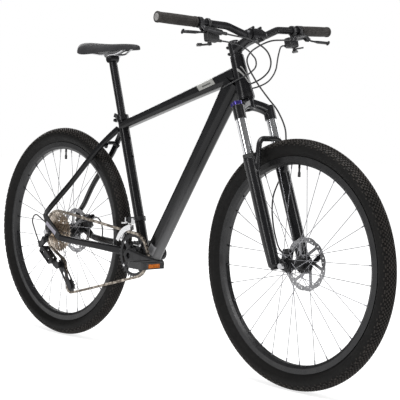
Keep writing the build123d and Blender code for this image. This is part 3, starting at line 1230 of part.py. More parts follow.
def build_rear_derailleur():
    hanger = (REAR_AXLE[0] - 10, REAR_AXLE[2] - 28)
    upper = Vector(-601.0, -74.0, 303.0)
    gap = Vector(0, LINK_GAP, 0)
    lower = upper + LINK_DIR * LINK_LENGTH

    bolt = across(4.9, -67.8, -84.2, *hanger) + across(8.0, -87, -84.1, *hanger)
    knuckle = ring_across(12.0, 5.0, -84, -73.7, *hanger)
    knuckle += bar_plate([hanger, (upper.X - 6, upper.Z + 14)], [11.0, 8.0], -82, -74)
    ends = []
    for shift in (Vector(0, 0, 0), gap):
        centre = upper + shift
        ends.append(rod(tuple(centre - LINK_AXIS * 14), tuple(centre + LINK_AXIS * 14), 2.5))
    block = rod(tuple(upper + gap / 2 - LINK_AXIS * 9.5), tuple(upper + gap / 2 + LINK_AXIS * 9.5),
                6.0)
    web_plane = Plane(origin=tuple(upper + gap / 2 + Vector(0, 0, 1)), x_dir=tuple(LINK_AXIS),
                      z_dir=(0, 1, 0))
    web = extrude(web_plane * RectangleRounded(19, 15, 4), 13, both=True)
    knuckle = knuckle + block + web
    for end in ends:
        knuckle += end
    barrel_end = along(REAR_LOOP[0], REAR_LOOP[1], 0.25)
    knuckle += rod((upper.X - 6, -78, upper.Z + 12), barrel_end, 4.5)
    knuckle -= rod(REAR_LOOP[0], REAR_LOOP[1], HOUSING_RADIUS + 0.1)
    save("rd_upper_knuckle", knuckle - across(4.95, -90, -60, *hanger), bolt)

    def link(shift, thickness):
        a, b = upper + shift, lower + shift
        pieces = None
        for along_axis in (-12.0, 12.0):
            offset = LINK_AXIS * along_axis
            start, end = a + offset, b + offset
            plane = Plane(origin=tuple(start), x_dir=tuple((end - start).normalized()),
                          z_dir=tuple(LINK_AXIS))
            outline = make_hull(Circle(thickness).edges()
                                + (Pos(LINK_LENGTH, 0) * Circle(thickness)).edges())
            strap = extrude(plane * outline, 1.8, both=True)
            pieces = strap if pieces is None else pieces + strap
        middle = Plane(origin=tuple((a + b) / 2), x_dir=tuple((b - a).normalized()),
                       z_dir=tuple(LINK_AXIS))
        pieces += extrude(middle * Rectangle(LINK_LENGTH * 0.52, thickness * 1.1), 12, both=True)
        for end in (a, b):
            pieces -= rod(tuple(end - LINK_AXIS * 20), tuple(end + LINK_AXIS * 20), 2.55)
        return pieces

    save("rd_outer_link", link(Vector(0, 0, 0), 5.5))
    save("rd_inner_link", link(gap, 4.5))

    pivot_y = BIG_COG_Y - 17.0
    knuckle = rod(tuple(lower - LINK_AXIS * 9.5), tuple(lower + LINK_AXIS * 9.5), 6.0)
    low_plane = Plane(origin=tuple(lower + gap / 2 - Vector(0, 0, 1)), x_dir=tuple(LINK_AXIS),
                      z_dir=(0, 1, 0))
    knuckle += extrude(low_plane * RectangleRounded(19, 15, 4), 13, both=True)
    for shift in (Vector(0, 0, 0), gap):
        centre = lower + shift
        knuckle += rod(tuple(centre - LINK_AXIS * 14), tuple(centre + LINK_AXIS * 14), 2.5)
    arm_low, arm_high = lower.Y + 6.2, pivot_y - 2.5
    knuckle += bar_plate([(lower.X, lower.Z - 2), (GUIDE_PULLEY[0], GUIDE_PULLEY[2])],
                         [8.0, 13.0], arm_low, arm_high)
    knuckle += across(4.0, arm_low + 1, pivot_y + 4.4, GUIDE_PULLEY[0], GUIDE_PULLEY[2])
    save("rd_lower_knuckle", knuckle)

    # Cage: two plates either side of the pulleys, joined by the two pulley bolts.
    guide = (GUIDE_PULLEY[0], GUIDE_PULLEY[2])
    tension = (TENSION_PULLEY[0], TENSION_PULLEY[2])
    y = BIG_COG_Y
    outer_plate = bar_plate([guide, tension], [14.0, 11.0], y - 8.5, y - 6.5)
    inner_plate = bar_plate([guide, tension], [9.0, 11.0], y + 6.5, y + 8.5)
    boss = ring_across(9.0, 4.05, pivot_y - 0.7, y - 8.4, *guide)
    cage = outer_plate + inner_plate + boss
    cage -= across(4.05, pivot_y - 5, y - 6, *guide)
    window_a = along((*guide, 0), (*tension, 0), 0.38)[:2]
    window_b = along((*guide, 0), (*tension, 0), 0.66)[:2]
    cage -= bar_plate([window_a, window_b], [4.5, 4.0], y - 10, y + 10)
    cage += across(3.0, y - 6.6, y + 6.6, *tension)
    # The guide pulley's stub stands on the inner plate, clear of the cage pivot.
    cage += across(3.0, y - 6.0, y + 6.6, *guide)
    cage += across(3.0, y - 6.6, y - 6.0, *guide)
    save("rd_cage", cage)
    for name, centre in (("rd_guide_pulley", GUIDE_PULLEY), ("rd_tension_pulley", TENSION_PULLEY)):
        phase = phase_on(centre, pitch_radius(PULLEY_TEETH))
        wheel = sprocket(PULLEY_TEETH, 2.2, 3.05, phase) + ring_across(7.0, 3.05, -5.6, 5.6)
        save(name, *place([wheel], centre))


def build_front_derailleur():
    """Band clamp on the seat tube with a swinging cage over the big chainring."""
    band_low = Vector(*SEAT_TUBE_FOOT) + POST_DIR * 112
    band_high = band_low + POST_DIR * 14
    band = sleeve(tuple(band_low), tuple(band_high), SEAT_TUBE_RADIUS + 4, SEAT_TUBE_RADIUS + 0.03)
    mid = (band_low + band_high) / 2
    body = Pos(mid.X - 2, -29.5, mid.Z) * Box(26, 19, 16)
    body = fillet(body.edges().filter_by(Axis.Y), 4)
    body -= rod(tuple(band_low - POST_DIR * 20), tuple(band_high + POST_DIR * 20),
                SEAT_TUBE_RADIUS + 2)
    pivot = (mid.X - 2, -36.0, mid.Z + 3)
    body += rod((pivot[0] - 21, pivot[1], pivot[2]), (pivot[0] + 21, pivot[1], pivot[2]), 2.5)
    save("front_derailleur_body", band + body)

    inner_r, outer_r = 82.5, 100.0
    thickness = 1.4
    a0, a1 = radians(97.0), radians(152.0)
    am = (a0 + a1) / 2
    plates = []
    for y in (-57.6, -44.4):
        def spot(radius, angle):
            return (BOTTOM_BRACKET[0] + radius * cos(angle), y - thickness / 2,
                    BOTTOM_BRACKET[2] + radius * sin(angle))
        edges = [ThreePointArc(spot(inner_r, a0), spot(inner_r, am), spot(inner_r, a1)),
                 Line(spot(inner_r, a1), spot(outer_r - 3, a1)),
                 ThreePointArc(spot(outer_r - 3, a1), spot(outer_r, am), spot(outer_r, a0)),
                 Line(spot(outer_r, a0), spot(inner_r, a0))]
        plates.append(extrude(make_face(edges), thickness, dir=(0, 1, 0)))
    cage = plates[0] + plates[1]
    for angle in (110.0, 150.0):
        a = radians(angle)
        cage += across(2.2, -57, -45, BOTTOM_BRACKET[0] + 95.5 * cos(a),
                       BOTTOM_BRACKET[2] + 95.5 * sin(a))
    for x_shift in (-17.0, 17.0):
        x = pivot[0] + x_shift
        cage += Pos(x, -39.8, pivot[2] - 7) * Box(4, 11, 20)
        cage += Pos(x, -50, pivot[2] - 14.5) * Box(4, 18, 5)
    cage -= rod((pivot[0] - 40, pivot[1], pivot[2]), (pivot[0] + 40, pivot[1], pivot[2]), 2.55)
    save("front_derailleur_cage", cage)


# ---- hoses and housings -----------------------------------------------------------------
def build_cables():
    """Lines from the bar to their ports, the rear derailleur's loop and the caliper hoses."""
    save("control_lines",
         local(cable(REAR_GEAR_LINE, HOUSING_RADIUS)), local(cable(REAR_BRAKE_LINE, HOSE_RADIUS)),
         local(cable(FRONT_GEAR_LINE, HOUSING_RADIUS)), cable(REAR_LOOP, HOUSING_RADIUS),
         cable(REAR_CALIPER_LINE, HOSE_RADIUS))
    save("front_brake_hose", local(cable(FRONT_BRAKE_LINE, HOSE_RADIUS)))


if __name__ == "__main__":
    build_wheels()
    build_chain()
    build_cassette()
    build_crankset()
    build_front_triangle()
    build_rear_triangle()
    build_seat()
    build_front_end()
    build_controls()
    build_fork()
    build_axles()
    build_calipers()
    build_rear_derailleur()
    build_front_derailleur()
    build_cables()
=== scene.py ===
import bpy
import bmesh
import json
import math
from mathutils import Matrix, Vector


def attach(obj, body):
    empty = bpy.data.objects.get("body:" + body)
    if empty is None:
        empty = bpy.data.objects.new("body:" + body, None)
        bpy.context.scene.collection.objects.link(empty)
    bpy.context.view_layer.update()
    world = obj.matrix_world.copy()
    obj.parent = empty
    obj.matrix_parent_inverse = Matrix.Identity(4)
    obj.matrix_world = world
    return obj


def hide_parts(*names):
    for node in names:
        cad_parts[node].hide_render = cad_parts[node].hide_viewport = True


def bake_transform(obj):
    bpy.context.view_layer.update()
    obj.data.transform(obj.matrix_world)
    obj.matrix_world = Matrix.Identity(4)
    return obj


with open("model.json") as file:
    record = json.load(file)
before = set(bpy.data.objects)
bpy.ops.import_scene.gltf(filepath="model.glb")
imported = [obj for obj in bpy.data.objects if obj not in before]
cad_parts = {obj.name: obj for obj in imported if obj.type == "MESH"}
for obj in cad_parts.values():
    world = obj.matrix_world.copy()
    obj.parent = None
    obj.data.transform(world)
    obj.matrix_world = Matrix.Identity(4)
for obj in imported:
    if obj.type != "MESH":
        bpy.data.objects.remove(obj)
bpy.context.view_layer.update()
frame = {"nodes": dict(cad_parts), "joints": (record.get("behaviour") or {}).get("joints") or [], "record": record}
NODES = frame["nodes"]
BODY_OF = {n: b for b, group in frame["record"]["behaviour"]["bodies"].items() for n in group}

# Steering frame: x forward, y left, z up the steering axis, origin at the head tube's foot.
HEAD_ANGLE = math.radians(69.5)
STEER_X = Vector((math.sin(HEAD_ANGLE), 0, math.cos(HEAD_ANGLE)))
STEER_Z = Vector((-math.cos(HEAD_ANGLE), 0, math.sin(HEAD_ANGLE)))
HEAD_FOOT = Vector((0.338, 0, 0.858))
FRONT_AXLE = Vector((0.5715, 0, 0.367))
REAR_AXLE = Vector((-0.5715, 0, 0.367))

# Directions of the painted marks, and the points they are measured from.
LEFT = (0, 1, 0)
RIGHT = (0, -1, 0)
DOWN_TUBE = (0.545, 0, 0.8384)
DOWN_TUBE_FRONT = (0.8384, 0, -0.545)
DOWN_TUBE_FOOT = (-0.085, 0, 0.318)
TOP_TUBE = (0.9544, 0, 0.2984)
TOP_TUBE_UPWARD = (-0.2984, 0, 0.9544)
TOP_TUBE_LABEL = (0.150, 0, 0.874)
DROPOUT_ALONG = (0.86, 0, -0.51)
DROPOUT_ACROSS = (0.51, 0, 0.86)
DROPOUT_PLATE = (-0.585, 0, 0.400)
FRAME_BLACK = ((0.0035, 0.0035, 0.004), (0.008, 0.008, 0.009))


def steered(x, y, z):
    """Place in the shared frame of a point given in the steering frame."""
    return HEAD_FOOT + STEER_X * x + Vector((0, y, 0)) + STEER_Z * z


# ---- finishes -------------------------------------------------------------------------
class Finish:
    """A Principled material under construction, with the nodes that several finishes share."""

    def __init__(self, name):
        self.material = bpy.data.materials.new(name)
        self.material.use_nodes = True
        self.tree = self.material.node_tree
        self.shader = self.tree.nodes["Principled BSDF"]
        self.place = self.node("ShaderNodeTexCoord").outputs["Object"]

    def node(self, kind, **settings):
        made = self.tree.nodes.new(kind)
        for key, value in settings.items():
            setattr(made, key, value)
        return made

    def link(self, source, target):
        self.tree.links.new(source, target)
        return self

    def set(self, **sockets):
        for key, value in sockets.items():
            self.shader.inputs[key.replace("_", " ")].default_value = value
        return self

    def grain(self, scale, detail=4.0, stretch=(1, 1, 1), rough=0.55):
        """Noise over the piece, from 0 to 1."""
        shaped = self.node("ShaderNodeMapping")
        shaped.inputs["Scale"].default_value = stretch
        self.link(self.place, shaped.inputs["Vector"])
        made = self.node("ShaderNodeTexNoise")
        made.inputs["Scale"].default_value = scale
        made.inputs["Detail"].default_value = detail
        made.inputs["Roughness"].default_value = rough
        self.link(shaped.outputs[0], made.inputs["Vector"])
        return made.outputs["Fac"]

    def cells(self, scale, feature="F1"):
        made = self.node("ShaderNodeTexVoronoi", feature=feature)
        made.inputs["Scale"].default_value = scale
        self.link(self.place, made.inputs["Vector"])
        return made.outputs["Distance"]

    def spread(self, source, low, high, start=0.3, end=0.7):
        """Map a 0 to 1 pattern to a range."""
        made = self.node("ShaderNodeMapRange")
        for socket, value in zip(("From Min", "From Max", "To Min", "To Max"),
                                 (start, end, low, high)):
            made.inputs[socket].default_value = value
        self.link(source, made.inputs["Value"])
        return made.outputs[0]

    def mix(self, factor, first, second):
        """Mix two colours, each a tuple or a socket."""
        made = self.node("ShaderNodeMix", data_type="RGBA")
        for socket, value in ((made.inputs[0], factor), (made.inputs[6], first),
                              (made.inputs[7], second)):
            if isinstance(value, (tuple, list, float, int)):
                socket.default_value = value if isinstance(value, (float, int)) else (*value, 1)
            else:
                self.link(value, socket)
        return made.outputs[2]

    def maths(self, operation, first, second=0.0):
        made = self.node("ShaderNodeMath", operation=operation)
        for socket, value in zip(made.inputs, (first, second)):
            if isinstance(value, (float, int)):
                socket.default_value = value
            else:
                self.link(value, socket)
        return made.outputs[0]

    def along(self, direction, origin=(0, 0, 0)):
        """Distance along a direction from an origin, in metres."""
        shifted = self.node("ShaderNodeVectorMath", operation="SUBTRACT")
        self.link(self.place, shifted.inputs[0])
        shifted.inputs[1].default_value = tuple(origin)
        made = self.node("ShaderNodeVectorMath", operation="DOT_PRODUCT")
        self.link(shifted.outputs[0], made.inputs[0])
        made.inputs[1].default_value = tuple(direction)
        return made.outputs["Value"]

    def drift(self, scale, dark, light, detail=4.0):
        """Colour that wanders between two shades over the piece."""
        return self.mix(self.spread(self.grain(scale, detail), 0.0, 1.0), dark, light)

    def band(self, value, low, high, soft=0.0006):
        """1 where the value lies between low and high, with soft edges."""
        rise = self.spread(value, 0.0, 1.0, low - soft, low + soft)
        fall = self.spread(value, 1.0, 0.0, high - soft, high + soft)
        return self.maths("MULTIPLY", rise, fall)

    def bump(self, height, strength, distance):
        made = self.node("ShaderNodeBump")
        made.inputs["Strength"].default_value = strength
        made.inputs["Distance"].default_value = distance
        self.link(height, made.inputs["Height"])
        self.link(made.outputs[0], self.shader.inputs["Normal"])
        return self

    def colour(self, source):
        return self.link(source, self.shader.inputs["Base Color"])

    def roughness(self, source):
        return self.link(source, self.shader.inputs["Roughness"])


def plain_finish(name, dark, light, rough, metallic=0.0, grain=60, bump=None, coat=0.0,
                 stretch=(1, 1, 1)):
    """Finish whose colour and roughness drift gently, with a fine surface bump."""
    f = Finish(name)
    f.set(Metallic=metallic, Coat_Weight=coat)
    drift = f.grain(grain, stretch=stretch)
    f.colour(f.mix(f.spread(drift, 0.0, 1.0), dark, light))
    f.roughness(f.spread(f.grain(grain * 2.3, 5, stretch), *rough))
    if bump:
        scale, strength, distance = bump
        f.bump(f.grain(scale, 3, stretch), strength, distance)
    return f.material


def frame_paint():
    """Gloss black with a painted highlight in grey under the down tube, and flat silver-grey marks."""
    f = Finish("frame_paint_gloss_black")
    f.set(Specular_IOR_Level=0.24)
    black = f.drift(7, *FRAME_BLACK)
    # Painted highlight: grey on the lower front face of the down tube, stronger towards its foot.
    down = f.along(DOWN_TUBE, DOWN_TUBE_FOOT)
    below = f.along(DOWN_TUBE_FRONT, DOWN_TUBE_FOOT)
    on_tube = f.band(down, 0.01, 0.60, 0.02)
    under = f.spread(below, 0.0, 1.0, 0.010, 0.034)
    highlight_falloff = f.spread(down, 0.50, 0.0, 0.0, 0.40)
    painted_highlight = f.maths("MULTIPLY", f.maths("MULTIPLY", on_tube, under), highlight_falloff)
    colour = f.mix(painted_highlight, black, (0.42, 0.42, 0.43))
    # A plain block in two greys near the foot of the down tube, on both sides.
    block = f.maths("MULTIPLY", f.band(down, 0.028, 0.062), f.band(below, -0.006, 0.019))
    inner = f.maths("MULTIPLY", f.band(down, 0.034, 0.056), f.band(below, -0.001, 0.014))
    colour = f.mix(f.maths("MULTIPLY", block, 0.8), colour, (0.30, 0.30, 0.31))
    colour = f.mix(f.maths("MULTIPLY", inner, 0.7), colour, (0.12, 0.12, 0.125))
    # The label on the right of the top tube near the head, a pale oblong with a dark bar.
    side = f.spread(f.along(RIGHT), 0.0, 1.0, 0.004, 0.005)
    run = f.along(TOP_TUBE, TOP_TUBE_LABEL)
    lift = f.along(TOP_TUBE_UPWARD, TOP_TUBE_LABEL)
    slant = f.maths("ADD", run, f.maths("MULTIPLY", lift, 0.55))
    label = f.maths("MULTIPLY", f.band(slant, -0.004, 0.072), f.band(lift, -0.006, 0.05))
    label = f.maths("MULTIPLY", label, side)
    bar = f.maths("MULTIPLY", f.band(slant, 0.016, 0.056), f.band(lift, 0.000, 0.0052))
    colour = f.mix(f.maths("MULTIPLY", label, 0.92), colour, (0.27, 0.27, 0.255))
    colour = f.mix(f.maths("MULTIPLY", bar, f.maths("MULTIPLY", side, 0.85)), colour,
                   (0.05, 0.05, 0.05))
    # Two short slanted marks on the front of the head tube.
    rise = f.along(STEER_Z, HEAD_FOOT)
    front = f.spread(f.along(STEER_X, HEAD_FOOT), 0.0, 1.0, 0.008, 0.009)
    tilt = f.maths("ADD", rise, f.maths("MULTIPLY", f.along(LEFT), 2.1))
    marks = f.maths("MAXIMUM", f.band(tilt, 0.030, 0.040), f.band(tilt, 0.056, 0.064))
    marks = f.maths("MULTIPLY", f.maths("MULTIPLY", marks, front), f.band(rise, 0.030, 0.085))
    colour = f.mix(f.maths("MULTIPLY", marks, 0.8), colour, (0.33, 0.33, 0.32))
    f.colour(colour)
    f.roughness(f.spread(f.grain(90, 5), 0.19, 0.27))
    f.bump(f.grain(300, 2), 0.025, 0.0004)
    return f.material


def dropout_paint():
    """The stays' black, with a lilac-grey mark on the right dropout plate."""
    f = Finish("stay_paint_gloss_black")
    f.set(Specular_IOR_Level=0.24)
    black = f.drift(7, *FRAME_BLACK)
    outside = f.spread(f.along(RIGHT), 0.0, 1.0, 0.0725, 0.0730)
    run = f.along(DROPOUT_ALONG, DROPOUT_PLATE)
    rise = f.along(DROPOUT_ACROSS, DROPOUT_PLATE)
    mark = f.maths("MULTIPLY", f.band(run, 0.004, 0.070), f.band(rise, -0.006, 0.008))
    mark = f.maths("MULTIPLY", mark, outside)
    f.colour(f.mix(f.maths("MULTIPLY", mark, 0.85), black, (0.30, 0.29, 0.34)))
    f.roughness(f.spread(f.grain(90, 5), 0.19, 0.27))
    f.bump(f.grain(300, 2), 0.025, 0.0004)
    return f.material


def fork_paint():
    """Gloss black with stronger reflections than the frame's."""
    f = Finish("fork_paint_gloss_black")
    f.set(Specular_IOR_Level=0.36)
    f.colour(f.drift(9, (0.004, 0.004, 0.005), (0.010, 0.010, 0.011)))
    f.roughness(f.spread(f.grain(100, 5), 0.18, 0.30))
    f.bump(f.grain(260, 2), 0.04, 0.0004)
    return f.material


def tyre_rubber():
    """Tread blocks: dark brownish rubber drifting in patches, made lighter than the casing as a painted highlight
    on the knobs.
    """
    f = Finish("tyre_tread_painted_highlight")
    f.set(Specular_IOR_Level=0.22)
    f.colour(f.drift(24, (0.0100, 0.0088, 0.0080), (0.0260, 0.0215, 0.0185), 6))
    f.roughness(f.spread(f.grain(140, 4), 0.46, 0.66))
    f.bump(f.grain(900, 3), 0.25, 0.0004)
    return f.material


def sidewall_rubber():
    """Near-black casing with a fine grain."""
    f = Finish("tyre_sidewall_rubber")
    f.set(Specular_IOR_Level=0.16)
    f.colour(f.drift(30, (0.0016, 0.0015, 0.0014), (0.0040, 0.0036, 0.0033), 6))
    f.roughness(f.spread(f.grain(120, 4), 0.5, 0.7))
    f.bump(f.grain(700, 3), 0.2, 0.0004)
    return f.material


def saddle_leather():
    """Matt synthetic cover: a fine pebble over a softer grain."""
    f = Finish("saddle_cover_grained")
    f.set(Specular_IOR_Level=0.3, Sheen_Weight=0.03)
    f.colour(f.drift(18, (0.010, 0.010, 0.011), (0.020, 0.020, 0.022), 5))
    f.roughness(f.spread(f.grain(60, 4), 0.50, 0.66))
    pebble = f.maths("ADD", f.maths("MULTIPLY", f.cells(900), 0.7), f.grain(260, 4))
    f.bump(pebble, 0.32, 0.0006)
    return f.material


def grip_rubber():
    """Matt brown-black rubber with a fine cell texture."""
    f = Finish("grip_rubber_brown_black")
    f.set(Specular_IOR_Level=0.3)
    f.colour(f.drift(40, (0.014, 0.0125, 0.0115), (0.030, 0.027, 0.025), 5))
    f.roughness(f.spread(f.grain(90, 4), 0.62, 0.8))
    f.bump(f.cells(700), 0.3, 0.0004)
    return f.material


def brushed(name, dark, light, rough, scale=240):
    """Turned or drawn metal, with fine streaks at right angles to the axles."""
    f = Finish(name)
    f.set(Metallic=1.0)
    streaks = f.grain(scale, 4, (1.0, 14.0, 1.0))
    f.colour(f.mix(f.spread(streaks, 0.0, 1.0), dark, light))
    f.roughness(f.spread(f.grain(60, 4), *rough))
    f.bump(streaks, 0.08, 0.0002)
    return f.material


def oiled_steel(name, dark, light, rough):
    """Oiled chain steel: brown-grey with darker grime in patches."""
    f = Finish(name)
    f.set(Metallic=1.0)
    grime = f.spread(f.grain(75, 6), 0.0, 1.0, 0.38, 0.62)
    f.colour(f.mix(grime, dark, light))
    f.roughness(f.spread(grime, rough[1], rough[0], 0.0, 1.0))
    f.bump(f.grain(500, 3), 0.12, 0.0002)
    return f.material


def reflector_amber():
    """Amber moulded lens with small raised cells."""
    f = Finish("reflector_amber_prisms")
    f.set(Roughness=0.16, Coat_Weight=0.8, Coat_Roughness=0.05)
    cells = f.cells(330)
    f.colour(f.mix(f.spread(cells, 0.0, 1.0, 0.1, 0.6), (0.85, 0.24, 0.015), (0.42, 0.10, 0.008)))
    f.bump(cells, 0.5, 0.0008)
    return f.material


F = {
    "frame": frame_paint(),
    "stays": dropout_paint(),
    "fork": fork_paint(),
    "chrome": brushed("stanchion_hard_chrome", (0.72, 0.73, 0.75), (0.82, 0.83, 0.85), (0.05, 0.12)),
    "black_gloss": plain_finish("black_anodised_polished", (0.010, 0.010, 0.011),
                                (0.022, 0.022, 0.024), (0.22, 0.34), 0.6, 40, (400, 0.08, 0.0003)),
    "black_satin": plain_finish("black_anodised_satin", (0.014, 0.014, 0.015),
                                (0.028, 0.028, 0.030), (0.32, 0.46), 0.5, 60, (700, 0.12, 0.0003)),
    "crank": plain_finish("crank_dark_grey_anodised", (0.018, 0.018, 0.019),
                          (0.034, 0.034, 0.036), (0.28, 0.42), 0.75, 50, (500, 0.10, 0.0003)),
    "plastic": plain_finish("black_moulded_plastic", (0.010, 0.010, 0.011),
                            (0.024, 0.024, 0.025), (0.38, 0.55), 0.0, 60, (800, 0.2, 0.0003)),
    "rubber": plain_finish("hose_black_sleeve", (0.008, 0.008, 0.009), (0.018, 0.018, 0.019),
                           (0.30, 0.42), 0.0, 80, (900, 0.1, 0.0002)),
    "seal": plain_finish("seal_rubber_matt", (0.010, 0.010, 0.010), (0.020, 0.020, 0.020),
                         (0.55, 0.7), 0.0, 80, (900, 0.2, 0.0002)),
    "steel": brushed("steel_brushed", (0.42, 0.42, 0.43), (0.60, 0.60, 0.61), (0.22, 0.36)),
    "rotor": brushed("rotor_ground_steel", (0.20, 0.20, 0.205), (0.36, 0.36, 0.37), (0.26, 0.40), 160),
    "silver": brushed("aluminium_polished", (0.60, 0.60, 0.61), (0.78, 0.78, 0.79), (0.14, 0.26)),
    "spoke": brushed("spoke_drawn_steel", (0.16, 0.16, 0.17), (0.30, 0.30, 0.32), (0.22, 0.34)),
    "chain": oiled_steel("chain_oiled_steel", (0.12, 0.10, 0.083), (0.48, 0.43, 0.37), (0.28, 0.5)),
    "cassette": oiled_steel("cassette_nickel_steel", (0.36, 0.30, 0.25), (0.78, 0.70, 0.61),
                            (0.22, 0.42)),
    "rim": plain_finish("rim_black_anodised", (0.007, 0.007, 0.008), (0.016, 0.016, 0.017),
                        (0.24, 0.36), 0.3, 40, (500, 0.08, 0.0003)),
    "tyre": tyre_rubber(),
    "sidewall": sidewall_rubber(),
    "saddle": saddle_leather(),
    "grip": grip_rubber(),
    "grip_plug": plain_finish("grip_end_plug_grey", (0.16, 0.155, 0.15), (0.24, 0.235, 0.23),
                              (0.45, 0.6), 0.0, 90, (600, 0.2, 0.0003)),
    "violet": plain_finish("knob_violet_anodised", (0.035, 0.025, 0.15), (0.06, 0.045, 0.24),
                           (0.2, 0.32), 0.8, 60, (500, 0.1, 0.0003)),
    "amber": reflector_amber(),
}

NODE_FINISH = {
    "frame_front_triangle": "frame", "frame_chainstays": "stays", "frame_seatstays": "stays",
    "seat_collar": "black_gloss", "bottom_bracket": "black_satin",
    "front_derailleur_body": "black_satin", "rear_brake_caliper": "black_satin",
    "rear_axle": "steel", "chain": "chain", "control_lines": "rubber",
    "rd_upper_knuckle": "black_satin", "fork_crown": "fork", "fork_stanchions": "chrome",
    "headset": "black_gloss", "stem": "black_gloss", "handlebar": "black_gloss",
    "grips": "grip", "brake_lever_housings": "black_satin", "shifter_housings": "plastic",
    "front_brake_hose": "rubber", "lockout_knob": "violet", "brake_lever_right": "black_satin",
    "brake_lever_left": "black_satin", "shift_thumb_right": "plastic",
    "shift_thumb_left": "plastic", "shift_release_right": "plastic",
    "shift_release_left": "plastic", "seat_qr_lever": "black_satin",
    "front_qr_lever": "black_satin", "rear_qr_lever": "black_satin",
    "front_derailleur_cage": "silver", "rd_outer_link": "black_satin",
    "rd_inner_link": "black_satin", "rd_lower_knuckle": "black_satin", "rd_cage": "black_gloss",
    "rd_guide_pulley": "plastic", "rd_tension_pulley": "plastic", "cassette": "cassette",
    "pedal_right": "plastic", "pedal_left": "plastic", "seatpost": "black_gloss",
    "fork_lowers": "fork", "fork_seals": "seal", "front_brake_caliper": "black_satin",
    "front_axle": "steel", "front_tyre_and_tube": "sidewall", "front_rim": "rim",
    "front_spokes": "spoke", "front_hub": "black_satin", "front_rotor": "rotor",
    "rear_tyre_and_tube": "sidewall", "rear_rim": "rim", "rear_spokes": "spoke",
    "rear_hub": "black_satin", "rear_rotor": "rotor", "crank_arm_right": "crank",
    "chainrings": "black_satin", "crank_arm_left": "crank", "saddle_rails": "steel",
    "saddle": "saddle",
}
for node_name, finish_name in NODE_FINISH.items():
    mesh = NODES[node_name].data
    mesh.materials.clear()
    mesh.materials.append(F[finish_name])


# ---- mesh helpers ---------------------------------------------------------------------
def object_from(bm, name, *finishes):
    """Plain mesh object from a bmesh, which takes its faces as they are turned."""
    data = bpy.data.meshes.new(name)
    bm.to_mesh(data)
    bm.free()
    made = bpy.data.objects.new(name, data)
    bpy.context.scene.collection.objects.link(made)
    for finish_name in finishes:
        data.materials.append(F[finish_name])
    return made


def merged_copy(node_name):
    """The node's surface as a welded bmesh."""
    bm = bmesh.new()
    bm.from_mesh(NODES[node_name].data)
    bmesh.ops.remove_doubles(bm, verts=bm.verts, dist=2e-6)
    return bm


def islands(bm):
    """Lists of faces, one for each closed solid, the one with most faces first."""
    bm.faces.ensure_lookup_table()
    seen, found = set(), []
    for face in bm.faces:
        if face.index in seen:
            continue
        group, stack = [], [face]
        seen.add(face.index)
        while stack:
            f = stack.pop()
            group.append(f)
            for edge in f.edges:
                for other in edge.link_faces:
                    if other.index not in seen:
                        seen.add(other.index)
                        stack.append(other)
        found.append(group)
    return sorted(found, key=len, reverse=True)


def centre_of(faces):
    """Centre and size of the box around some faces."""
    points = [v.co for f in faces for v in f.verts]
    lo = Vector([min(p[i] for p in points) for i in range(3)])
    hi = Vector([max(p[i] for p in points) for i in range(3)])
    return (lo + hi) / 2, hi - lo


def crease(made, angle=35):
    """Smooth shading with sharp edges kept."""
    for polygon in made.data.polygons:
        polygon.use_smooth = True
    made.data.set_sharp_from_angle(angle=math.radians(angle))
    return made


def settle(made, node_name):
    """Hide the node that a piece stands for and let the piece ride on that node's body."""
    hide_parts(node_name)
    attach(made, BODY_OF[node_name])
    return made


def recoloured(node_name, name, small, *finishes, angle=35):
    """Copy of a node whose solids under a size take the second of two finishes."""
    bm = merged_copy(node_name)
    for group in islands(bm):
        index = 1 if centre_of(group)[1].length < small else 0
        for face in group:
            face.material_index = index
    return settle(crease(object_from(bm, name, *finishes), angle), node_name)


def applied(made):
    """Evaluate the modifiers into the mesh and drop them."""
    shown = bpy.context.evaluated_depsgraph_get()
    data = bpy.data.meshes.new_from_object(made.evaluated_get(shown))
    made.modifiers.clear()
    made.data = data
    return made


# A solid shorter than this share of the longest one counts as a fitting in a cast piece.
SMALL_SHARE = 0.55


def cast(node_name, name, voxel, finish_name, turns):
    """A node's large solids with their edges and inner corners rounded as cast or forged.

    The small ones, such as bolts and pins, stay crisp.
    """
    bm = merged_copy(node_name)
    groups = islands(bm)
    sizes = [centre_of(g)[1].length for g in groups]
    limit = max(sizes) * SMALL_SHARE
    small = [f for g, s in zip(groups, sizes) if s < limit for f in g]
    crisp = None
    if small:
        crisp = bm.copy()
        bm.faces.ensure_lookup_table()
        crisp.faces.ensure_lookup_table()
        indices = {f.index for f in small}
        bmesh.ops.delete(crisp, geom=[f for f in crisp.faces if f.index not in indices],
                         context="FACES")
        bmesh.ops.delete(bm, geom=small, context="FACES")
    made = object_from(bm, name, finish_name)
    remesh = made.modifiers.new("skin", "REMESH")
    remesh.mode, remesh.voxel_size, remesh.adaptivity = "VOXEL", voxel, 0.0
    remesh.use_smooth_shade = True
    smooth = made.modifiers.new("soften", "CORRECTIVE_SMOOTH")
    smooth.use_only_smooth, smooth.iterations, smooth.factor = True, turns, 0.5
    smooth.rest_source = "ORCO"
    applied(made)
    for polygon in made.data.polygons:
        polygon.use_smooth = True
    if crisp is not None:
        extra = object_from(crisp, name + "_fittings", finish_name)
        crease(extra)
        join([made, extra])
    return settle(made, node_name)


def join(pieces):
    """Join plain mesh objects into the first."""
    with bpy.context.temp_override(active_object=pieces[0], object=pieces[0],
                                   selected_objects=pieces, selected_editable_objects=pieces):
        bpy.ops.object.join()
    return pieces[0]


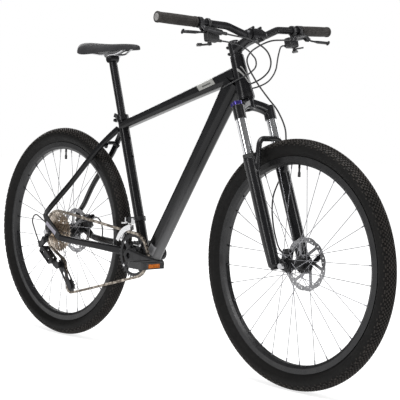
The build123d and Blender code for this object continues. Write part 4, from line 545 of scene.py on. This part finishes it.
def lathe(bm, profile, origin, axis, start, steps, material=0, closed=True, wave=None):
    """Turn (distance along axis, radius) pairs about an axis through origin."""
    axis = axis.normalized()
    start = (start - axis * start.dot(axis)).normalized()
    side = axis.cross(start)
    rings = []
    for step in range(steps):
        a = 2 * math.pi * step / steps
        out = start * math.cos(a) + side * math.sin(a)
        ring = []
        for d, r in profile:
            grown = r + (wave(a, d) if wave else 0.0)
            ring.append(bm.verts.new(origin + axis * d + out * grown))
        rings.append(ring)
    count = len(profile)
    for step in range(steps):
        here, there = rings[step], rings[(step + 1) % steps]
        for number in range(count if closed else count - 1):
            following = (number + 1) % count
            face = bm.faces.new((here[number], here[following], there[following], there[number]))
            face.material_index = material
            face.smooth = True
    return rings


# ---- repeating pieces from one node tree ------------------------------------------------
def ring_tree():
    """Node tree that repeats an object on a ring about the Y axis and gives it a finish."""
    tree = bpy.data.node_groups.new("repeat_round_axle", "GeometryNodeTree")
    face = tree.interface
    for name, kind in (("Piece", "NodeSocketObject"), ("Count", "NodeSocketInt"),
                       ("Radius", "NodeSocketFloat"), ("Side", "NodeSocketFloat"),
                       ("Phase", "NodeSocketFloat"), ("Finish", "NodeSocketMaterial")):
        face.new_socket(name=name, in_out="INPUT", socket_type=kind)
    face.new_socket(name="Geometry", in_out="OUTPUT", socket_type="NodeSocketGeometry")
    new, link = tree.nodes.new, tree.links.new
    given, out = new("NodeGroupInput"), new("NodeGroupOutput")

    def maths(operation, first, second=None):
        made = new("ShaderNodeMath")
        made.operation = operation
        for socket, value in zip(made.inputs, (first, second)):
            if isinstance(value, (int, float)):
                socket.default_value = value
            elif value is not None:
                link(value, socket)
        return made.outputs[0]

    index = new("GeometryNodeInputIndex").outputs[0]
    turn = maths("DIVIDE", maths("MULTIPLY", index, 2 * math.pi), given.outputs["Count"])
    angle = maths("ADD", turn, given.outputs["Phase"])
    place = new("ShaderNodeCombineXYZ")
    link(maths("MULTIPLY", maths("COSINE", angle), given.outputs["Radius"]), place.inputs[0])
    link(given.outputs["Side"], place.inputs[1])
    link(maths("MULTIPLY", maths("SINE", angle), given.outputs["Radius"]), place.inputs[2])
    points = new("GeometryNodePoints")
    link(given.outputs["Count"], points.inputs["Count"])
    link(place.outputs[0], points.inputs["Position"])
    piece = new("GeometryNodeObjectInfo")
    link(given.outputs["Piece"], piece.inputs["Object"])
    spin = new("ShaderNodeCombineXYZ")
    link(maths("MULTIPLY", angle, -1.0), spin.inputs[1])
    copies = new("GeometryNodeInstanceOnPoints")
    link(points.outputs[0], copies.inputs["Points"])
    link(piece.outputs["Geometry"], copies.inputs["Instance"])
    link(spin.outputs[0], copies.inputs["Rotation"])
    real = new("GeometryNodeRealizeInstances")
    link(copies.outputs[0], real.inputs[0])
    painted = new("GeometryNodeSetMaterial")
    link(real.outputs[0], painted.inputs["Geometry"])
    link(given.outputs["Finish"], painted.inputs["Material"])
    link(painted.outputs[0], out.inputs[0])
    return tree


RING = ring_tree()


def ring_of(piece, count, radius, side, phase, finish_name, centre, name):
    """Plain mesh of the piece repeated about an axle."""
    data = bpy.data.meshes.new(name)
    made = bpy.data.objects.new(name, data)
    bpy.context.scene.collection.objects.link(made)
    modifier = made.modifiers.new("repeat", "NODES")
    modifier.node_group = RING
    named = {item.name: item.identifier for item in RING.interface.items_tree
             if item.in_out == "INPUT"}
    for key, value in (("Piece", piece), ("Count", count), ("Radius", radius), ("Side", side),
                       ("Phase", phase), ("Finish", F[finish_name])):
        modifier[named[key]] = value
    applied(made)
    made.data.transform(Matrix.Translation(centre))
    if not made.data.materials:
        made.data.materials.append(F[finish_name])
    return made


def drop(*objects):
    for gone in objects:
        bpy.data.objects.remove(gone, do_unlink=True)


# ---- tyres ------------------------------------------------------------------------------
def knob(length, width, height, taper, lean):
    """One tread block, standing on the carcass along +X, tapered and sunk a little."""
    bm = bmesh.new()
    corners = []
    for x, shrink in ((-0.0012, 1.0), (height * 0.7, 1 - taper * 0.6), (height, 1 - taper * 1.6)):
        ring = []
        for sy, sz in ((-1, -1), (1, -1), (1, 1), (-1, 1)):
            y, z = sy * width / 2 * shrink, sz * length / 2 * shrink
            point = Vector((x, y, z))
            point.rotate(Matrix.Rotation(lean, 3, "Z"))
            ring.append(bm.verts.new(point))
        corners.append(ring)
    for low, high in zip(corners, corners[1:]):
        for i in range(4):
            j = (i + 1) % 4
            bm.faces.new((low[i], low[j], high[j], high[i]))
    bm.faces.new(corners[-1])
    bm.faces.new(corners[0][::-1])
    bmesh.ops.recalc_face_normals(bm, faces=bm.faces)
    data = bpy.data.meshes.new("tread_block")
    bm.to_mesh(data)
    bm.free()
    made = bpy.data.objects.new("tread_block", data)
    bpy.context.scene.collection.objects.link(made)
    return made


# Radius of the circle through the middles of the casing, and the casing's own two radii.
TYRE_CENTRE = 0.3395
CARCASS = 0.0252
CARCASS_INSIDE = 0.0222
VALVE_FOOT = Vector((0, 0, 0.3155))
BLOCK_TAPER = 0.12


def build_tyre(node_name, name, axle):
    """Carcass with beads and ribbed sidewalls, rows of tread blocks and the valve."""
    bm = bmesh.new()
    profile = []
    for step in range(49):
        a = math.radians(-118 + step * 236 / 48)
        rib = 0.0002 * math.cos(step * math.pi) if abs(math.degrees(a)) > 62 else 0.0
        profile.append(((CARCASS + rib) * math.sin(a), TYRE_CENTRE + (CARCASS + rib) * math.cos(a)))
    low = [(-0.0093, 0.3170), (-0.0093, 0.3112), (-0.0055, 0.3112), (-0.0055, 0.3195)]
    inner = []
    for step in range(13):
        a = math.radians(-112 + step * 224 / 12)
        inner.append((CARCASS_INSIDE * math.sin(a), TYRE_CENTRE + CARCASS_INSIDE * math.cos(a)))
    high = [(-y, r) for y, r in reversed(low)]
    section = inner[::-1] + low[::-1] + profile + high
    lathe(bm, section, axle, Vector((0, 1, 0)), Vector((0, 0, 1)), 160)
    bmesh.ops.recalc_face_normals(bm, faces=bm.faces)
    carcass = object_from(bm, name, "sidewall")
    pieces = [carcass]
    # The tread blocks take the lighter tread finish, a painted highlight on the knobs against the darker casing.
    rows = [
        # angle from the crown, count round the wheel, block length, width, height, half step
        (0.0, 192, 0.0070, 0.0046, 0.0023, 0.0),
        (11.0, 192, 0.0066, 0.0040, 0.0023, 0.5),
        (22.0, 192, 0.0066, 0.0040, 0.0024, 0.0),
        (33.0, 192, 0.0066, 0.0040, 0.0024, 0.5),
        (44.5, 192, 0.0070, 0.0044, 0.0024, 0.0),
        (56.0, 96, 0.0110, 0.0044, 0.0024, 0.25),
        (67.0, 96, 0.0060, 0.0038, 0.0016, 0.75),
    ]
    for angle, count, length, width, height, half in rows:
        for a in (math.radians(angle), -math.radians(angle))[:2 if angle else 1]:
            block = knob(length, width, height, BLOCK_TAPER, a)
            radius, side = TYRE_CENTRE + CARCASS * math.cos(a), CARCASS * math.sin(a)
            phase = (half + 0.25) * 2 * math.pi / count
            pieces.append(ring_of(block, count, radius, side, phase, "tyre", axle, "tread_ring"))
            drop(block)
    bm = merged_copy(node_name)
    groups = islands(bm)
    cap = min(groups, key=lambda g: centre_of(g)[1].length)
    keep = {f.index for f in cap}
    bmesh.ops.delete(bm, geom=[f for f in bm.faces if f.index not in keep], context="FACES")
    for face in bm.faces:
        face.smooth = True
    cap_piece = object_from(bm, "valve_cap", "plastic")
    crease(cap_piece)
    bm = bmesh.new()
    stem = [(0.0, 0.0001), (0.0, 0.0034), (0.032, 0.0034), (0.032, 0.0040), (0.0335, 0.0040),
            (0.0335, 0.0030), (0.046, 0.0030), (0.046, 0.0001)]
    lathe(bm, stem, axle + VALVE_FOOT, Vector((0, 0, -1)), Vector((1, 0, 0)), 16,
          closed=False)
    bmesh.ops.remove_doubles(bm, verts=bm.verts, dist=3e-4)
    bmesh.ops.recalc_face_normals(bm, faces=bm.faces)
    stem_piece = object_from(bm, "valve_stem", "plastic")
    pieces += [cap_piece, stem_piece]
    settle(join(pieces), node_name)


build_tyre("front_tyre_and_tube", "front_tyre", FRONT_AXLE)
build_tyre("rear_tyre_and_tube", "rear_tyre", REAR_AXLE)


# ---- saddle -------------------------------------------------------------------------------
SEAM_HALF_WIDTH = 0.0022
SEAM_DEPTH = 0.0011


def build_saddle():
    """Padded shell: wide split wings, a dropped nose, a channel down the middle and a seam."""
    stations = [
        # x, half width, top, height of the edge, groove depth
        (-0.4590, 0.020, 1.0250, 1.0080, 0.000),
        (-0.4530, 0.048, 1.0285, 1.0000, 0.001),
        (-0.4360, 0.064, 1.0305, 0.9900, 0.002),
        (-0.4080, 0.0710, 1.0300, 0.9840, 0.004),
        (-0.3750, 0.0690, 1.0275, 0.9840, 0.005),
        (-0.3450, 0.0560, 1.0250, 0.9880, 0.006),
        (-0.3150, 0.0415, 1.0240, 0.9940, 0.006),
        (-0.2850, 0.0310, 1.0240, 0.9980, 0.005),
        (-0.2550, 0.0250, 1.0245, 1.0000, 0.004),
        (-0.2250, 0.0215, 1.0240, 1.0005, 0.002),
        (-0.2000, 0.0190, 1.0215, 1.0005, 0.001),
        (-0.1850, 0.0145, 1.0180, 1.0020, 0.000),
        (-0.1790, 0.0080, 1.0135, 1.0060, 0.000),
    ]
    bm = bmesh.new()
    rows = []
    across_steps = 20
    for x, half, top, edge, groove in stations:
        ring = []
        for step in range(across_steps + 1):
            t = -1 + 2 * step / across_steps
            y = half * math.sin(t * math.pi / 2)
            fall = abs(t) ** 2.8
            z = top - (top - edge) * fall - groove * math.exp(-(y / 0.0075) ** 2)
            if x < -0.39:
                z -= 0.004 * math.exp(-(y / 0.012) ** 2)
            ring.append(bm.verts.new((x, y, z)))
        under = []
        for step in range(across_steps - 1):
            t = 1 - 2 * (step + 1) / across_steps
            y = (half - 0.004) * math.sin(t * math.pi / 2)
            roof = min(edge + 0.009, top - 0.007)
            z = roof - (roof - edge - 0.0008) * abs(t) ** 6
            under.append(bm.verts.new((x, y, max(z, edge + 0.0004))))
        rows.append(ring + under)
    for here, there in zip(rows, rows[1:]):
        count = len(here)
        for i in range(count):
            j = (i + 1) % count
            bm.faces.new((here[i], here[j], there[j], there[i]))
    bm.faces.new(rows[0][::-1])
    bm.faces.new(rows[-1])
    bmesh.ops.recalc_face_normals(bm, faces=bm.faces)
    cover = object_from(bm, "saddle_cover", "saddle")
    for polygon in cover.data.polygons:
        polygon.use_smooth = True
    smooth = cover.modifiers.new("rounded", "SUBSURF")
    smooth.levels = smooth.render_levels = 2
    applied(cover)
    # Panel seams, pressed along each side of the top.
    for vertex in cover.data.vertices:
        p = vertex.co
        if vertex.normal.z > 0.25:
            half = 0.024 + 0.036 * max(0.0, min(1.0, (-0.30 - p.x) / 0.09)) ** 1.2
            half = min(half, 0.05) * (0.72 if p.x > -0.30 else 1.0)
            line = abs(abs(p.y) - half)
            if line < SEAM_HALF_WIDTH and p.x < -0.20:
                p.z -= SEAM_DEPTH * (1 - line / SEAM_HALF_WIDTH)
    settle(cover, "saddle")


build_saddle()


# ---- grips --------------------------------------------------------------------------------
BAR_POINTS = ((0.0, 0.0923, 0.1555), (0.042, 0.0923, 0.1555), (0.105, 0.0893, 0.1795),
              (0.353, 0.0717, 0.1974))


def bar_point(y):
    """Centre line of the bar at a signed distance to the left."""
    for (y0, x0, z0), (y1, x1, z1) in zip(BAR_POINTS, BAR_POINTS[1:]):
        if abs(y) <= y1:
            t = (abs(y) - y0) / (y1 - y0)
            return steered(x0 + (x1 - x0) * t, y, z0 + (z1 - z0) * t)
    return steered(BAR_POINTS[-1][1], y, BAR_POINTS[-1][2])


GRIP_FROM = 0.218
GRIP_TO = 0.353
GRIP_STEPS = 60


def build_grips():
    """Tapered grips with a cross-cut pattern, a collar at the inner end and a pale end plug."""
    bm = bmesh.new()
    for side in (1, -1):
        inner, outer = bar_point(side * GRIP_FROM), bar_point(side * GRIP_TO)
        axis = (outer - inner).normalized()
        length = (outer - inner).length
        profile = [(0.0, 0.0112), (0.0, 0.0150), (0.0012, 0.0163), (0.006, 0.0163),
                   (0.0072, 0.0142)]
        for step in range(GRIP_STEPS + 1):
            d = 0.0085 + (length - 0.014) * step / GRIP_STEPS
            swell = 0.0006 * math.sin(math.pi * step / GRIP_STEPS)
            profile.append((d, 0.0144 + swell))
        profile += [(length - 0.0045, 0.0163), (length + 0.0012, 0.0164),
                    (length + 0.0026, 0.0150), (length + 0.0029, 0.0118)]

        def pattern(a, d):
            if 0.010 < d < length - 0.008:
                lozenge = math.sin(a * 9 + d * 420) * math.sin(a * 9 - d * 420)
                return 0.0009 if lozenge > -0.12 else 0.0
            return 0.0

        lathe(bm, profile, inner, axis, Vector((0, 0, 1)), 72, 0, False, pattern)
        plug = [(length + 0.0018, 0.0119), (length + 0.0026, 0.0113), (length + 0.0031, 0.0060),
                (length + 0.0024, 0.0050), (length + 0.0024, 0.0002)]
        lathe(bm, plug, inner, axis, Vector((0, 0, 1)), 40, 1, False)
    bmesh.ops.remove_doubles(bm, verts=bm.verts, dist=2e-5)
    bmesh.ops.recalc_face_normals(bm, faces=bm.faces)
    settle(crease(object_from(bm, "bar_grips", "grip", "grip_plug"), 40), "grips")


build_grips()

# ---- cast and forged pieces ----------------------------------------------------------------
cast("fork_lowers", "fork_lower_legs", 0.0019, "fork", 6)
cast("fork_crown", "fork_crown_forged", 0.0013, "fork", 6)
cast("crank_arm_right", "crank_right_forged", 0.0009, "crank", 6)
cast("crank_arm_left", "crank_left_forged", 0.0009, "crank", 6)
cast("stem", "stem_forged", 0.0011, "black_gloss", 5)
cast("front_brake_caliper", "front_caliper_cast", 0.0008, "black_satin", 5)
cast("rear_brake_caliper", "rear_caliper_cast", 0.0008, "black_satin", 5)
cast("brake_lever_housings", "brake_perches_cast", 0.0008, "black_satin", 5)
cast("shifter_housings", "shifter_pods_moulded", 0.0008, "plastic", 6)
cast("rd_lower_knuckle", "derailleur_knuckle_cast", 0.0007, "black_satin", 5)

JOINTS = {j["name"]: j for j in frame["joints"]}


def lever_blade(side):
    """Brake lever with its blade flattened to a finger's width beyond the pivot."""
    joint = JOINTS[f"brake_lever_{side}_pull"]
    pivot, axis = Vector(joint["pos_m"]), Vector(joint["axis"]).normalized()
    node_name = f"brake_lever_{side}"
    bm = merged_copy(node_name)
    bmesh.ops.subdivide_edges(bm, edges=[e for e in bm.edges if e.calc_length() > 0.004], cuts=2)
    reach = {v: (v.co - pivot).length for v in bm.verts}
    outer = [v for v in bm.verts if reach[v] > 0.035]
    middle = sum((v.co - pivot).dot(axis) for v in outer) / len(outer)
    for vertex in bm.verts:
        t = max(0.0, min(1.0, (reach[vertex] - 0.022) / 0.020))
        offset = (vertex.co - pivot).dot(axis) - middle
        vertex.co += axis * offset * 0.85 * t * t * (3 - 2 * t)
    settle(crease(object_from(bm, f"brake_blade_{side}", "black_gloss"), 50), node_name)


for side in ("right", "left"):
    lever_blade(side)

# ---- pieces with two finishes --------------------------------------------------------------
REFLECTOR_SIZE = 0.055
BOLT_SIZE = 0.02
for side in ("right", "left"):
    recoloured(f"pedal_{side}", f"pedal_platform_{side}", REFLECTOR_SIZE, "plastic", "amber")
recoloured("chainrings", "chainrings_bolted", BOLT_SIZE, "black_satin", "silver")
recoloured("rd_upper_knuckle", "derailleur_upper", BOLT_SIZE, "black_satin", "silver")
for end in ("front", "rear"):
    recoloured(f"{end}_rotor", f"{end}_disc", BOLT_SIZE, "rotor", "black_satin", angle=30)


# ---- hoses and housings --------------------------------------------------------------------
def solids_where(node_name, name, wanted, finish_name):
    """Copy of the node's solids whose centre passes a test."""
    bm = merged_copy(node_name)
    away = [f for group in islands(bm) if not wanted(centre_of(group)[0]) for f in group]
    bmesh.ops.delete(bm, geom=away, context="FACES")
    return crease(object_from(bm, name, finish_name), 60)


def flexing(made, node_name):
    """A hose left fixed in the shared frame, its node hidden and its placing baked into the mesh."""
    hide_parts(node_name)
    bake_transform(made)


flexing(solids_where("control_lines", "lines_to_the_bar", lambda c: c.x > 0, "rubber"),
        "control_lines")
settle(solids_where("control_lines", "lines_at_the_rear", lambda c: c.x < 0, "rubber"),
       "control_lines")
flexing(solids_where("front_brake_hose", "hose_to_the_fork", lambda c: True, "rubber"),
        "front_brake_hose")


# ---- studio -------------------------------------------------------------------------------
CAMERA_PLACE = (3.148, -2.703, 0.804)
CAMERA_LOOK = (-0.7414, 0.6675, -0.0684)
CAMERA_UP = (-0.0691, 0.0254, 0.9973)
CAMERA_LENS = 115.9
FLOOR_HALF_WIDTH = 14
FLOOR_DROP = 0.0004
# Emission of the floor: from FLOOR_GLOW[2] inside one radius up to FLOOR_GLOW[3] at another.
FLOOR_GLOW = (1.1, 3.5, 0.72, 1.0)
ROOM_LIGHT = 0.20
WHITE = (1, 1, 1, 1)


def studio():
    """White room with a softly lit floor, five lamps and the camera.

    The camera sees a plain white backdrop, while the pieces are lit by a dimmer room.
    """
    scene = bpy.context.scene
    world = bpy.data.worlds.new("studio_air")
    world.use_nodes = True
    air, link = world.node_tree.nodes, world.node_tree.links.new
    room, backdrop = air["Background"], air.new("ShaderNodeBackground")
    room.inputs[0].default_value = WHITE
    room.inputs[1].default_value = ROOM_LIGHT
    backdrop.inputs[0].default_value = WHITE
    backdrop.inputs[1].default_value = 1.0
    seen, choose = air.new("ShaderNodeLightPath"), air.new("ShaderNodeMixShader")
    link(seen.outputs["Is Camera Ray"], choose.inputs[0])
    link(room.outputs[0], choose.inputs[1])
    link(backdrop.outputs[0], choose.inputs[2])
    link(choose.outputs[0], air["World Output"].inputs[0])
    scene.world = world
    bm = bmesh.new()
    bmesh.ops.create_grid(bm, x_segments=1, y_segments=1, size=FLOOR_HALF_WIDTH)
    floor_mesh = bpy.data.meshes.new("floor")
    bm.to_mesh(floor_mesh)
    bm.free()
    floor = bpy.data.objects.new("floor", floor_mesh)
    floor.location.z = -FLOOR_DROP
    scene.collection.objects.link(floor)
    paper = bpy.data.materials.new("studio_paper")
    paper.use_nodes = True
    shader = paper.node_tree.nodes["Principled BSDF"]
    shader.inputs["Base Color"].default_value = (0.45, 0.45, 0.45, 1)
    shader.inputs["Emission Color"].default_value = WHITE
    nodes, link = paper.node_tree.nodes, paper.node_tree.links.new
    place, reach = nodes.new("ShaderNodeTexCoord"), nodes.new("ShaderNodeVectorMath")
    reach.operation = "LENGTH"
    link(place.outputs["Object"], reach.inputs[0])
    glow = nodes.new("ShaderNodeMapRange")
    for socket, value in zip(("From Min", "From Max", "To Min", "To Max"), FLOOR_GLOW):
        glow.inputs[socket].default_value = value
    link(reach.outputs["Value"], glow.inputs["Value"])
    link(glow.outputs[0], shader.inputs["Emission Strength"])
    shader.inputs["Roughness"].default_value = 0.9
    shader.inputs["Specular IOR Level"].default_value = 0.0
    floor_mesh.materials.append(paper)
    # name, place, aim, width, height, power
    lamps = [("overhead_softbox", (0.3, -0.6, 3.6), (0, 0, 0.5), 3.4, 2.2, 150),
             ("right_strip", (0.2, -3.6, 1.5), (0, 0, 0.6), 0.7, 2.4, 42),
             ("front_strip", (3.9, 0.4, 1.5), (0.2, 0, 0.6), 0.8, 2.4, 42),
             ("back_fill", (-3.4, 1.2, 2.0), (0, 0, 0.5), 1.4, 2.2, 45),
             ("left_fill", (0.5, 3.6, 1.8), (0, 0, 0.6), 1.6, 2.2, 45)]
    for name, spot, aim, width, height, power in lamps:
        data = bpy.data.lights.new(name, "AREA")
        data.shape, data.size, data.size_y, data.energy = "RECTANGLE", width, height, power
        lamp = bpy.data.objects.new(name, data)
        lamp.location = spot
        lamp.rotation_euler = (Vector(aim) - Vector(spot)).to_track_quat("-Z", "Y").to_euler()
        scene.collection.objects.link(lamp)
    data = bpy.data.cameras.new("camera")
    data.sensor_width, data.lens = 36.0, CAMERA_LENS
    data.clip_start, data.clip_end = 0.05, 60
    camera = bpy.data.objects.new("camera", data)
    look = Vector(CAMERA_LOOK).normalized()
    right = look.cross(Vector(CAMERA_UP)).normalized()
    up = right.cross(look)
    camera.matrix_world = Matrix.Translation(CAMERA_PLACE) @ Matrix(
        (right, up, -look)).transposed().to_4x4()
    scene.collection.objects.link(camera)
    scene.camera = camera
    scene.view_settings.view_transform = "Standard"


studio()
